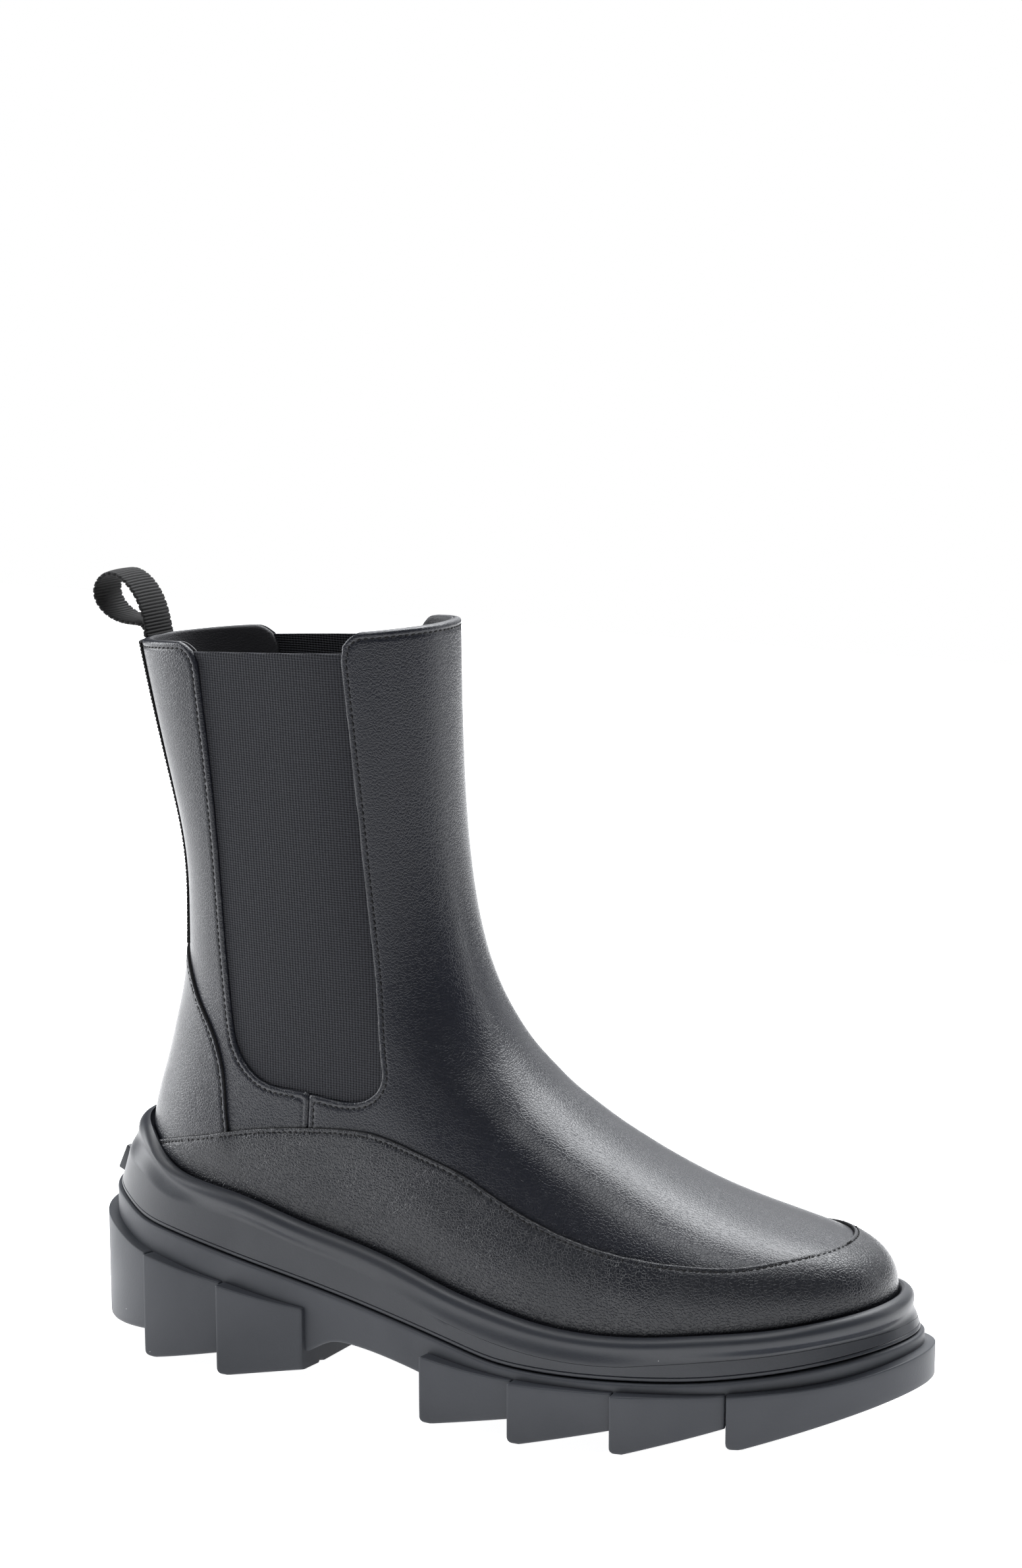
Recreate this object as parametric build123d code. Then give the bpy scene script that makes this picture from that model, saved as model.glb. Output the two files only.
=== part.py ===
from build123d import *
import math
import os
import numpy as np

# Chelsea boot, right foot.  Millimetres, toe towards +X, outer (lateral) side towards -Y,
# ground at Z = 0.  Every piece is a separate solid in the boot's own frame.

# --- driving dimensions -------------------------------------------------------------
OVERLAY = 1.1  # mudguard and heel patch leather, lapped over the vamp and quarters
LEATHER = 1.4  # vamp and quarter leather
MIDDLE = 1.0  # elastic, toe puff and heel counter, between leather and lining
LINING = 1.1  # lining leather
GAP = 0.05  # glue line between two layers
LAP = 6.0  # how far the elastic runs under the leather's edge
MARGIN = 13.0  # width of leather turned under the foot
MARGIN_T = 1.5  # its thickness
BOARD = 2.0  # insole board
FOOTBED = 4.0  # foam footbed on the board
BEAD = 5.0  # how far the rolled edge stands out from the upper
WALL_INSET = 4.0  # midsole wall inside the lug faces, at the groove
SLAB_INSET = 3.0  # outsole band inside the lug faces
LUG_STEP = 1.5  # a lug's rear end stands this far out, its front end this far in
LAND = 4.0  # flat strip at each lug's rear tip
WEBBING_W = 15.0  # pull loop
STRIP_W = 25.0  # back strip
WEBBING_T = 1.3
SHANK_W = 14.0
SHANK_T = 1.2
SIDE_SEAM_X = -52.7

# Last, as nine closed rows from the sole edge up to the topline:
# heel x, heel z, front x, front z, half width heel, half width front, fullness heel,
# fullness front, how much of the sole line's dip the row takes.
LAST_ROWS = np.array(
    [
        [-128.2, 56.0, 132.0, 40.0, 33.0, 42.5, 0.60, 0.42, 1.0],
        [-128.2, 75.0, 137.8, 56.7, 33.0, 43.0, 0.55, 0.42, 1.0],
        [-122.0, 92.0, 117.2, 64.6, 31.5, 38.5, 0.50, 0.35, 0.9],
        [-118.3, 108.0, 85.9, 67.9, 31.0, 33.0, 0.45, 0.30, 0.5],
        [-113.3, 125.0, 34.5, 87.4, 29.0, 30.0, 0.40, 0.25, 0.2],
        [-112.5, 145.0, 0.3, 113.2, 28.0, 28.0, 0.40, 0.25, 0.0],
        [-111.9, 170.0, -15.2, 152.3, 27.0, 28.0, 0.40, 0.30, 0.0],
        [-122.4, 200.0, -17.8, 200.0, 26.0, 28.0, 0.40, 0.35, 0.0],
        [-130.0, 231.0, -18.3, 243.0, 25.0, 28.0, 0.40, 0.40, 0.0],
    ]
)
DIP = 17.5  # depth of the sole line below the straight heel-to-toe line

# Plan outline of the lug faces, heel to toe, outer side then inner side (x, y).
OUTER_SIDE = [(-145, 0), (-136, -24), (-112, -39), (-80, -43), (-35, -45), (5, -49.5)]
OUTER_SIDE += [(40, -51.5), (75, -48.5), (108, -38), (132, -20), (142.5, -4), (145, 8)]
INNER_SIDE = [(-145, 0), (-136, 22), (-112, 36.5), (-75, 39.5), (-35, 38), (0, 40)]
INNER_SIDE += [(35, 47), (70, 51.3), (104, 47), (128, 37), (141, 23), (145, 8)]

# Side-view lines (x, z).
BEAD_TOP = [(-150, 74), (-128, 73), (-120, 70), (-108, 63.6), (-92.8, 60.7), (-75.7, 59)]
BEAD_TOP += [(-51.3, 53.9), (-34, 50.8), (-14, 46.5), (6.4, 41.2), (18.8, 38.9), (37, 36.4)]
BEAD_TOP += [(54, 35.9), (71, 37.2), (92, 40.3), (111, 43.1), (127, 46), (150, 50)]
BEAD_LOW = [(-150, 67), (-128, 66.5), (-116, 64), (-105, 58), (-92, 54.5), (-74, 52)]
BEAD_LOW += [(-50, 47), (-33, 44), (-14, 39.5), (6.4, 34.5), (19, 32.2), (37, 30.3)]
BEAD_LOW += [(54, 30), (71, 31), (92, 34), (111, 36.6), (127, 39), (150, 42.5)]
GROOVE = [(-150, 51), (-128, 48), (-118, 45), (-105, 43), (-88, 40.5), (-73, 38), (-53, 35)]
GROOVE += [(-33, 32), (-11, 28.6), (10, 25), (23, 22.8), (35, 22.2), (52, 22.6), (69, 23.7)]
GROOVE += [(90, 25.6), (108, 28), (125, 30.8), (136, 33), (150, 36)]
LUG_TOP_HEEL = [(-150, 42), (-140, 41.5), (-128, 39), (-115, 35.3), (-108, 34.2), (-93, 31.7)]
LUG_TOP_HEEL += [(-79, 29.8), (-64, 27.8), (-44, 26.5)]
LUG_TOP_TOE = [(-4, 22), (18, 19.7), (33, 19.2), (50, 19.8), (66, 20.6), (84, 21.9)]
LUG_TOP_TOE += [(100, 23.2), (110, 24.4), (127, 26.6), (138, 29), (150, 33)]
SLAB_LOW = [(-150, 12), (-128, 9.8), (-60, 9.5), (-54, 9.7), (-49, 11.5), (-44, 14.5)]
SLAB_LOW += [(-38, 17), (-30, 17.4), (-20, 16.5), (-10, 15), (-2, 13.4), (8, 10.6)]
SLAB_LOW += [(40, 10.5), (72, 11.5), (100, 15), (119, 18), (134, 21.5), (150, 27)]
# Lugs: rear x, front x, bottom height at the rear, bottom height at the front.
LUGS = [(-150, -111.3, 3.2, 8.3), (-111, -80.8, 0, 6.5), (-80.5, -48.6, 0, 6.5)]
LUGS += [(-0.3, 32.2, 0, 6.9), (32.5, 66.7, 0, 8.9), (67, 101.3, 2.3, 13)]
LUGS += [(101.6, 150, 6.7, 22.5)]

MUDGUARD_SEAM = [(-150, 55), (-128, 62.5), (-120, 66.3), (-109, 70.6), (-97, 74), (-69, 80.9)]
MUDGUARD_SEAM += [(-52, 83.5), (-39, 84.8), (-27, 84.7), (-10, 80.8), (4, 76.8), (18, 70.8)]
MUDGUARD_SEAM += [(32, 65.5), (45.5, 61.9), (58, 59.8), (71, 58.9), (86.5, 58.8), (101, 59.9)]
MUDGUARD_SEAM += [(109.6, 61.4), (117.5, 62.4), (122, 62.7), (130, 63.4), (150, 65)]
HEEL_PATCH_EDGE = [(-130, 136.5), (-116, 136), (-108, 129.8), (-99.7, 118.1), (-93, 109.7)]
HEEL_PATCH_EDGE += [(-88.6, 101.8), (-86.4, 94.5), (-84.6, 83.9), (-83, 76), (-82, 66)]
WINDOW = [(-98.5, 262), (-96.9, 231.5), (-93.5, 204), (-90.6, 177.5), (-87.8, 141.5)]
WINDOW += [(-85.1, 116.4), (-81.8, 104.7), (-76.3, 98.6), (-69.9, 95.4), (-61, 94.6)]
WINDOW += [(-52.4, 94.2), (-42.3, 93.4), (-33.3, 94.4), (-28.7, 97.2), (-26.6, 100.9)]
WINDOW += [(-27.1, 107.4), (-29.7, 126.6), (-32.6, 147.6), (-36.8, 182.6), (-42.6, 235)]
WINDOW += [(-45.5, 262)]
QUARTER_TOP = [(-150, 229.5), (-128, 231.2), (-112, 232.9), (-105.8, 233.4), (-101, 232.9)]
QUARTER_TOP += [(-98.2, 231.6), (-95, 226)]
VAMP_TOP = [(-44.8, 228), (-42.9, 235), (-41.2, 238.4), (-38.2, 240.7), (-32.3, 241.7)]
VAMP_TOP += [(-22, 242.7), (-5, 243.6)]
ELASTIC_TOP = [(-115, 229.8), (-97, 231), (-42.6, 234.6), (-25, 235.8)]


# --- the last as a surface ----------------------------------------------------------
def row_weights(v):
    """Weights of the nine rows at height v (0 sole edge, 1 topline), cubic B-spline."""
    n, k = len(LAST_ROWS), 3
    knots = [0.0] * k + list(np.linspace(0, 1, n - k + 1)) + [1.0] * k
    v = min(max(v, 0.0), 1.0 - 1e-9)
    w = [1.0 if knots[i] <= v < knots[i + 1] else 0.0 for i in range(len(knots) - 1)]
    for d in range(1, k + 1):
        new = []
        for i in range(len(knots) - 1 - d):
            left = knots[i + d] - knots[i]
            right = knots[i + d + 1] - knots[i + 1]
            a = (v - knots[i]) / left * w[i] if left > 0 else 0.0
            b = (knots[i + d + 1] - v) / right * w[i + 1] if right > 0 else 0.0
            new.append(a + b)
        w = new
    return np.array(w)


def sole_dip(t):
    return -DIP * abs(math.sin(math.pi * t**1.35)) ** 1.3


def last_point(v, angle):
    """Point on the leather's outer face; angle 0 is the front, 180 degrees the back."""
    row = row_weights(v) @ LAST_ROWS
    heel_x, heel_z, front_x, front_z, heel_w, front_w, heel_q, front_q, dip = row
    t = (1 + math.cos(angle)) / 2
    blend = t * t * (3 - 2 * t)
    width = heel_w + (front_w - heel_w) * blend
    full = heel_q + (front_q - heel_q) * blend
    y = width * math.sin(angle) * (1 + full * math.cos(angle) ** 2)
    low = max(0.0, 1 - 2.2 * v) ** 1.5
    y += low * (6 * t * t - 1.5)
    if y > 0:
        y *= 1 - low * 0.09 * math.exp(-(((t - 0.42) / 0.17) ** 2))
    else:
        pinch = -0.05 * math.exp(-(((t - 0.36) / 0.15) ** 2))
        ball = 0.04 * math.exp(-(((t - 0.62) / 0.18) ** 2))
        y *= 1 + low * (pinch + ball)
    z = heel_z + (front_z - heel_z) * t + dip * sole_dip(t)
    return np.array([heel_x + (front_x - heel_x) * t, y, z])


def offset_point(v, angle, distance):
    """The same point moved out along the surface normal."""
    dv, da = 0.004, 0.01
    v = min(max(v, dv), 1 - dv)
    along = last_point(v, angle + da) - last_point(v, angle - da)
    up = last_point(v + dv, angle) - last_point(v - dv, angle)
    normal = np.cross(along, up)
    return last_point(v, angle) + distance * normal / np.linalg.norm(normal)


def loop_wire(points):
    return Wire([Edge.make_spline([Vector(*p) for p in points], periodic=True)])


def last_solid(distance):
    """Solid inside the last's surface moved out by distance, run on past both ends."""
    angles = [2 * math.pi * i / 30 for i in range(30)]
    heights = [0.004, 0.08, 0.16, 0.24, 0.32, 0.41, 0.5, 0.6, 0.7, 0.8, 0.9, 0.996]
    rows = [[offset_point(v, a, distance) for a in angles] for v in heights]
    floor = 10.0 + 0.4 * distance
    low = []
    for j in (4, 3, 2, 1):
        low.append([[p[0], p[1], p[2] + (floor - p[2]) * j / 4] for p in rows[0]])
    end = 262.0 - 0.4 * distance
    lean = [(p - q) / abs(p[2] - q[2]) for p, q in zip(rows[-1], rows[-2])]
    top = []
    for j in (1, 2):
        top.append([p + d * (end - p[2]) * j / 2 for p, d in zip(rows[-1], lean)])
    return Solid.make_loft([loop_wire(r) for r in low + rows + top])


def sole_plan(distance, z0=0.0, z1=95.0):
    """Upright solid on the plan of the upper's bottom edge, moved out by distance."""
    points = np.array([last_point(0.004, 2 * math.pi * i / 48)[:2] for i in range(48)])
    tangent = np.roll(points, -1, 0) - np.roll(points, 1, 0)
    tangent /= np.linalg.norm(tangent, axis=1)[:, None]
    normal = np.stack([tangent[:, 1], -tangent[:, 0]], axis=1)
    moved = points + distance * normal
    return Solid.extrude(Face(loop_wire([[x, y, z0] for x, y in moved])), Vector(0, 0, z1 - z0))


# --- cutting tools ------------------------------------------------------------------
def spline_xz(points, y=-90.0):
    return Edge.make_spline([Vector(x, y, z) for x, z in points])


def cutter(curve, corners, y0=-90.0, y1=90.0):
    """Prism along Y: a side-view curve, closed by straight lines through corners."""
    path = [curve[-1]] + corners + [curve[0]]
    edges = [spline_xz(curve, y0)]
    for a, b in zip(path, path[1:]):
        edges.append(Edge.make_line(Vector(a[0], y0, a[1]), Vector(b[0], y0, b[1])))
    return Solid.extrude(Face(Wire(edges)), Vector(0, y1 - y0, 0))


def below(curve, floor=-5.0):
    return cutter(curve, [(curve[-1][0], floor), (curve[0][0], floor)])


def slab(x0, x1, z0, z1, y0=-90.0, y1=90.0):
    box = Box(x1 - x0, y1 - y0, z1 - z0)
    return Pos((x0 + x1) / 2, (y0 + y1) / 2, (z0 + z1) / 2) * box


def sole_line(rise, x0=-150.0, x1=150.0, n=25):
    """Side-view line of the upper's bottom edge, moved up by rise."""
    heel_x, heel_z, front_x, front_z = LAST_ROWS[0][:4]
    points = []
    for i in range(n):
        x = x0 + (x1 - x0) * i / (n - 1)
        t = (x - heel_x) / (front_x - heel_x)
        inside = min(max(t, 0.0), 1.0)
        z = heel_z + (front_z - heel_z) * t + sole_dip(inside) + rise
        points.append((x, z))
    return points


def sole_band(low, high):
    """Layer along the upper's bottom edge between two heights above it."""
    return below(sole_line(high), 0.0) - below(sole_line(low), -1.0)


def grown(points, distance):
    """Side-view line moved out along its normal."""
    p = np.array(points, float)
    tangent = np.gradient(p, axis=0)
    tangent /= np.linalg.norm(tangent, axis=1)[:, None]
    normal = np.stack([tangent[:, 1], -tangent[:, 0]], axis=1)
    return [tuple(q) for q in p + distance * normal]


def one(shape):
    """Largest solid of a result."""
    return max(shape.solids(), key=lambda s: s.volume)


# --- upper --------------------------------------------------------------------------
class Layers:
    """Shells between two offsets of the last, made once and cut by every piece."""

    def __init__(self):
        self.cache = {}

    def solid(self, distance):
        key = round(distance, 3)
        if key not in self.cache:
            self.cache[key] = last_solid(distance)
        return self.cache[key]

    def shell(self, outer, inner):
        key = (round(outer, 3), round(inner, 3))
        if key not in self.cache:
            self.cache[key] = self.solid(outer) - self.solid(inner)
        return self.cache[key]


layers = Layers()
MID_OUT = -LEATHER - GAP
MID_IN = MID_OUT - MIDDLE
LINING_OUT = MID_IN - GAP
LINING_IN = LINING_OUT - LINING
INSIDE = LINING_IN - GAP


def above_sole(shape, rise=0.0):
    return shape - below(sole_line(rise), -1.0)


def window():
    return cutter(WINDOW, [])


def make_vamp():
    shell = layers.shell(0.0, -LEATHER)
    front = cutter(VAMP_TOP, [(160, 243.6), (160, 0), (-46, 0)])
    front = front & slab(SIDE_SEAM_X + 0.1, 160, 0, 300)
    front = front + slab(SIDE_SEAM_X + 0.1, 160, 0, 200)
    return one(above_sole(shell & front) - window())


def quarter_region():
    corners = [(-88, 205), (-88, 190), (SIDE_SEAM_X - 0.1, 190), (SIDE_SEAM_X - 0.1, 0)]
    return cutter(QUARTER_TOP, corners + [(-150, 0)])


def make_quarter(side):
    shell = layers.shell(0.0, -LEATHER)
    back = quarter_region()
    half = slab(-160, 0, 0, 300, -90, -0.05) if side < 0 else slab(-160, 0, 0, 300, 0.05, 90)
    return one(above_sole(shell & back & half) - window())


def make_mudguard():
    """Lapped over the vamp and quarters, with its lower edge turned under the foot."""
    shell = layers.shell(OVERLAY + GAP, GAP)
    wall = above_sole(shell & below(MUDGUARD_SEAM, -5.0), -MARGIN_T - GAP)
    ring = sole_plan(OVERLAY) - sole_plan(-MARGIN, -5.0, 99.0)
    ring = ring & sole_band(-MARGIN_T - GAP, -GAP)
    return one(wall + ring)


def make_heel_patch():
    shell = layers.shell(OVERLAY + GAP, GAP)
    region = cutter(HEEL_PATCH_EDGE, [(-150, 66), (-150, 136.5)])
    region = region - below([(x, z + 0.3) for x, z in MUDGUARD_SEAM], -5.0)
    return one(shell & region)


def make_gusset(side):
    shell = layers.shell(MID_OUT, MID_IN)
    wide = [p for p in grown(WINDOW, LAP) if p[1] < 300]
    region = cutter(wide, []) & below(ELASTIC_TOP, 50)
    half = slab(-160, 60, 0, 300, -90, -5) if side < 0 else slab(-160, 60, 0, 300, 5, 90)
    return one(shell & region & half)


def make_toe_puff():
    shell = layers.shell(MID_OUT, MID_IN)
    edge = [(66, 28), (74, 45), (84, 60), (92, 75), (96, 90)]
    region = cutter(edge, [(160, 90), (160, 20)])
    return one(above_sole(shell & region, GAP))


def make_heel_counter():
    shell = layers.shell(MID_OUT, MID_IN)
    edge = [(-140, 118), (-118, 117), (-104, 108), (-95, 92), (-86, 76), (-74, 66), (-62, 40)]
    region = cutter(edge, [(-140, 40)])
    return one(above_sole(shell & region, GAP))


def make_lining(front):
    shell = layers.shell(LINING_OUT, LINING_IN)
    if front:
        region = cutter(VAMP_TOP, [(160, 243.6), (160, 0), (-46, 0)])
        region = region & slab(SIDE_SEAM_X + 0.1, 160, 0, 300)
        region = region + slab(SIDE_SEAM_X + 0.1, 160, 0, 200)
    else:
        region = quarter_region()
    return one(above_sole(shell & region) - window())


def make_back_strip():
    """Webbing down the back seam, from the topline to the heel patch."""
    shell = layers.shell(OVERLAY + GAP, GAP)
    strip = slab(-160, -100, 137.2, 300, -STRIP_W / 2, STRIP_W / 2)
    return one(shell & strip & below(QUARTER_TOP, 0))


# Pull loop in side view: the folded webbing's outer face, the finger hole and the sewn foot.
LOOP_OUTER = [(-128.2, 234.2), (-133.2, 234.4), (-140.4, 235.4), (-146.3, 238.8), (-149, 244)]
LOOP_OUTER += [(-147.3, 249.2), (-142.3, 251.9), (-136.6, 250.4), (-131.6, 245.6), (-128.6, 240)]
LOOP_OUTER += [(-127.6, 236.4)]
LOOP_HOLE = [(-132.2, 236.6), (-135.2, 236.2), (-140.6, 237.1), (-145.3, 239.8), (-147.5, 244)]
LOOP_HOLE += [(-146.1, 248.2), (-142, 250.4), (-137.3, 249), (-132.9, 244.8), (-130.6, 240.2)]
LOOP_FOOT = (-128.9, 233.3)


def make_pull_loop():
    """Folded strip sewn at its foot, which is rounded so that it can tip on the seam."""
    rings = []
    for line in (LOOP_OUTER, LOOP_HOLE):
        ring = loop_wire([[x, -WEBBING_W / 2, z] for x, z in line])
        rings.append(Solid.extrude(Face(ring), Vector(0, WEBBING_W, 0)))
    foot = Pos(LOOP_FOOT[0], 0, LOOP_FOOT[1]) * Rot(90, 0, 0) * Cylinder(1.3, WEBBING_W)
    return one(rings[0] - rings[1] + foot)


# --- under the foot -----------------------------------------------------------------
def make_rivets(radius=1.5):
    heads = []
    for x in (-88.0, -16.0):
        z = sole_height(x)
        heads.append(Pos(x, 0, z + 0.2) * Cylinder(radius, 2.8))
    return heads


def sole_height(x):
    """Height of the sole line at x."""
    pts = sole_line(0.0, x - 1.0, x + 1.0, 3)
    return pts[1][1]


def make_insole_board(rivets):
    board = layers.solid(INSIDE) & sole_band(0.0, BOARD)
    return one(board - rivets[0] - rivets[1])


def make_footbed():
    return one(layers.solid(INSIDE) & sole_band(BOARD + GAP, BOARD + FOOTBED))


def make_shank(rivets):
    strip = slab(-96, -8, 10, 90, -SHANK_W / 2, SHANK_W / 2)
    strip = strip & sole_band(-MARGIN_T, -MARGIN_T + SHANK_T)
    return one(strip - rivets[0] - rivets[1])


def make_filler():
    pad = sole_plan(-MARGIN - GAP) & sole_band(-MARGIN_T - GAP, -GAP)
    return one(pad - slab(-96.1, -7.9, 10, 90, -SHANK_W / 2 - 0.1, SHANK_W / 2 + 0.1))


# --- sole ---------------------------------------------------------------------------
def outline(count=56):
    """Lug-face outline resampled by angle, with outward normals (x, y, nx, ny, angle)."""
    outer = Edge.make_spline([Vector(x, y, 0) for x, y in OUTER_SIDE])
    inner = Edge.make_spline([Vector(x, y, 0) for x, y in INNER_SIDE])
    half = count // 2
    pts = [outer @ (i / half) for i in range(half)]
    pts += [inner @ (1 - i / half) for i in range(half)]
    p = np.array([[q.X, q.Y] for q in pts])
    t = np.roll(p, -1, 0) - np.roll(p, 1, 0)
    t /= np.linalg.norm(t, axis=1)[:, None]
    return p, np.stack([t[:, 1], -t[:, 0]], axis=1)


def plan_wire(distance, z):
    p, n = outline()
    return loop_wire([[a[0] + distance * b[0], a[1] + distance * b[1], z] for a, b in zip(p, n)])


def plan_solid(distance, z0, z1):
    return Solid.extrude(Face(plan_wire(distance, z0)), Vector(0, 0, z1 - z0))


def height_on(curve, x):
    xs = [p[0] for p in curve]
    zs = [p[1] for p in curve]
    return float(np.interp(x, xs, zs))


def midsole_block():
    """Wall that leans in towards the top, most at heel and toe."""
    p, n = outline()
    rows = []
    for z in (15.0, 85.0):
        row = []
        for a, b in zip(p, n):
            lean = 0.07 + 0.38 * abs(b[0]) ** 3
            move = -WALL_INSET - lean * (z - height_on(GROOVE, a[0]))
            row.append([a[0] + move * b[0], a[1] + move * b[1], z])
        rows.append(loop_wire(row))
    return Solid.make_loft(rows, ruled=True)


def make_midsole():
    """Moulded wall with a rolled edge on top, hollow for the lasted upper."""
    wall = midsole_block() & below(BEAD_LOW, 0)
    bead = layers.solid(OVERLAY + BEAD) & below(BEAD_TOP, 0)
    low = [(x, z - 1.5) for x, z in BEAD_LOW]
    bead = bead - below(low, -1)
    body = (wall + bead) - below(GROOVE, -1)
    hollow = above_sole(layers.solid(OVERLAY + 2 * GAP), -MARGIN_T - 2 * GAP)
    body = one(body - hollow)
    for i in range(5):
        y = 5.2 * (i - 2)
        rib = Pos(-135.2 + 0.012 * y * y, y, 57.5) * Rot(0, -24, 0) * Box(5.0, 2.6, 9.0)
        body = body + (rib - hollow)
    return one(body)


def lug_plan(x0, x1):
    """Plan of one lug: outer end at the rear stands out, front end is drawn in."""
    p, n = outline(160)
    edges = []
    for side in (-1, 1):
        pts = []
        for a, b in zip(p, n):
            if a[1] * side > 0.5 and x0 - 9 < a[0] < x1 + 9:
                u = (a[0] - x0) / (x1 - x0)
                move = LUG_STEP * (1 - 2 * u)
                pts.append((a[0] + move * b[0], a[1] + move * b[1]))
        pts.sort()
        xs = [q[0] for q in pts]
        ys = [q[1] for q in pts]
        grid = [x0 + (x1 - x0) * i / 8 for i in range(9)]
        edges.append([(x, float(np.interp(x, xs, ys))) for x in grid])
    return edges


def make_lug(x0, x1, z0, z1):
    if x0 < -140 or x1 > 140:
        plan = plan_solid(0.4, -5, 60) & slab(x0, x1, -5, 60)
    else:
        outer, inner = lug_plan(x0, x1)
        corners = [Vector(x, y, -5) for x, y in outer], [Vector(x, y, -5) for x, y in inner]
        a, b = Edge.make_spline(corners[0]), Edge.make_spline(corners[1])
        ends = [Edge.make_line(corners[0][0], corners[1][0])]
        ends.append(Edge.make_line(corners[0][-1], corners[1][-1]))
        plan = Solid.extrude(Face(Wire([a, b] + ends)), Vector(0, 0, 65))
    top = LUG_TOP_HEEL if x1 < 0 else LUG_TOP_TOE
    bottom = [(x0 - 1, -6), (x0 - 1, z0), (x0 + LAND, z0), (x1 + 1, z1), (x1 + 1, -6)]
    wire = Wire.make_polygon([Vector(x, -90, z) for x, z in bottom], close=True)
    cut = Solid.extrude(Face(wire), Vector(0, 180, 0))
    return (plan & below(top, -6)) - cut


def make_outsole():
    body = plan_solid(-SLAB_INSET, -2, 60) & below(GROOVE, -2)
    body = body - below(SLAB_LOW, -4)
    for lug in LUGS:
        body = body + make_lug(*lug)
    return one(body)


# --- build and write ----------------------------------------------------------------
def build():
    rivets = make_rivets()
    holes = make_rivets(1.55)
    return {
        "vamp": make_vamp(),
        "quarter_lateral": make_quarter(-1),
        "quarter_medial": make_quarter(1),
        "mudguard": make_mudguard(),
        "heel_patch": make_heel_patch(),
        "gusset_lateral": make_gusset(-1),
        "gusset_medial": make_gusset(1),
        "toe_puff": make_toe_puff(),
        "heel_counter": make_heel_counter(),
        "vamp_lining": make_lining(True),
        "quarter_lining": make_lining(False),
        "back_strip": make_back_strip(),
        "pull_loop": make_pull_loop(),
        "insole_board": make_insole_board(holes),
        "footbed": make_footbed(),
        "shank": make_shank(holes),
        "shank_rivets": Compound(children=[one(r) for r in rivets]),
        "filler": make_filler(),
        "midsole": make_midsole(),
        "outsole": make_outsole(),
    }


os.makedirs("parts", exist_ok=True)
for name, shape in build().items():
    export_step(shape, "parts/" + name + ".step")
    box = shape.bounding_box()
    print(name, [round(c, 1) for c in (*box.min, *box.max)], round(shape.volume))
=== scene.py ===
import math

import bmesh
import bpy
import numpy as np
from mathutils import Matrix, Vector, kdtree


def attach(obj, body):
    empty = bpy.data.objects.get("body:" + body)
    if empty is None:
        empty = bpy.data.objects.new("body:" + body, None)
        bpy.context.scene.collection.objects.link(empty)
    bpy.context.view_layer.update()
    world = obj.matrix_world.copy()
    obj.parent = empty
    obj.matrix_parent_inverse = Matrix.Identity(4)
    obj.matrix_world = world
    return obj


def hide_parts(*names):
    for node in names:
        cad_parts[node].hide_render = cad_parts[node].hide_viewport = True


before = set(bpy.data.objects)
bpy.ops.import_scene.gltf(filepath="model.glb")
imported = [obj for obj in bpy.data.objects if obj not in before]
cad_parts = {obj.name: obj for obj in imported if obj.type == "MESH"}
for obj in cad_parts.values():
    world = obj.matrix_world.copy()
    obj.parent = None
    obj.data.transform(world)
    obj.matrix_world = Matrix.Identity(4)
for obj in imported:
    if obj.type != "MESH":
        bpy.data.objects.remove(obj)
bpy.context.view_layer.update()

MM = 0.001

# --- Vamp -----------------------------------------------------------------------------
# One piece of smooth black calf leather from the shaft's front to the toe, 1.4 mm thick.
# It is pulled over the last, so its shape is the last's; its edges are folded and sewn.

# The last: nine closed rows from sole edge to topline, in mm.  Columns: heel x and z,
# front x and z, half width at heel and front, fullness at heel and front, share of dip.
LAST_ROWS = np.array(
    [
        [-128.2, 56.0, 132.0, 40.0, 33.0, 42.5, 0.60, 0.42, 1.0],
        [-128.2, 75.0, 137.8, 56.7, 33.0, 43.0, 0.55, 0.42, 1.0],
        [-122.0, 92.0, 117.2, 64.6, 31.5, 38.5, 0.50, 0.35, 0.9],
        [-118.3, 108.0, 85.9, 67.9, 31.0, 33.0, 0.45, 0.30, 0.5],
        [-113.3, 125.0, 34.5, 87.4, 29.0, 30.0, 0.40, 0.25, 0.2],
        [-112.5, 145.0, 0.3, 113.2, 28.0, 28.0, 0.40, 0.25, 0.0],
        [-111.9, 170.0, -15.2, 152.3, 27.0, 28.0, 0.40, 0.30, 0.0],
        [-122.4, 200.0, -17.8, 200.0, 26.0, 28.0, 0.40, 0.35, 0.0],
        [-130.0, 231.0, -18.3, 243.0, 25.0, 28.0, 0.40, 0.40, 0.0],
    ]
)
SOLE_DIP = 17.5  # how far the last's sole edge drops between heel and toe, mm
TOP_V = 1.015  # a little above the last's top row, so that the topline lies inside


def row_weights(v):
    """Cubic B-spline weights of the nine rows at heights v, as an array (len(v), 9)."""
    count, degree = len(LAST_ROWS), 3
    inner = np.linspace(0, 1, count - degree + 1)
    knots = np.concatenate([[0] * degree, inner, [1] * degree])
    above = np.maximum(v - 1, 0) * 3 * (count - degree)
    v = np.clip(v, 0, 1 - 1e-9)
    basis = [(knots[i] <= v) & (v < knots[i + 1]) for i in range(len(knots) - 1)]
    basis = [b.astype(float) for b in basis]
    for d in range(1, degree + 1):
        step = []
        for i in range(len(knots) - 1 - d):
            a, b = knots[i + d] - knots[i], knots[i + d + 1] - knots[i + 1]
            left = (v - knots[i]) / a * basis[i] if a > 0 else 0 * v
            right = (knots[i + d + 1] - v) / b * basis[i + 1] if b > 0 else 0 * v
            step.append(left + right)
        basis = step
    basis[-1] = basis[-1] + above
    basis[-2] = basis[-2] - above
    return np.stack(basis, axis=-1)


def sole_dip(t):
    """How far the sole edge lies below the straight line from heel to front."""
    return -SOLE_DIP * np.abs(np.sin(np.pi * np.clip(t, 0, 1) ** 1.35)) ** 1.3


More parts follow.
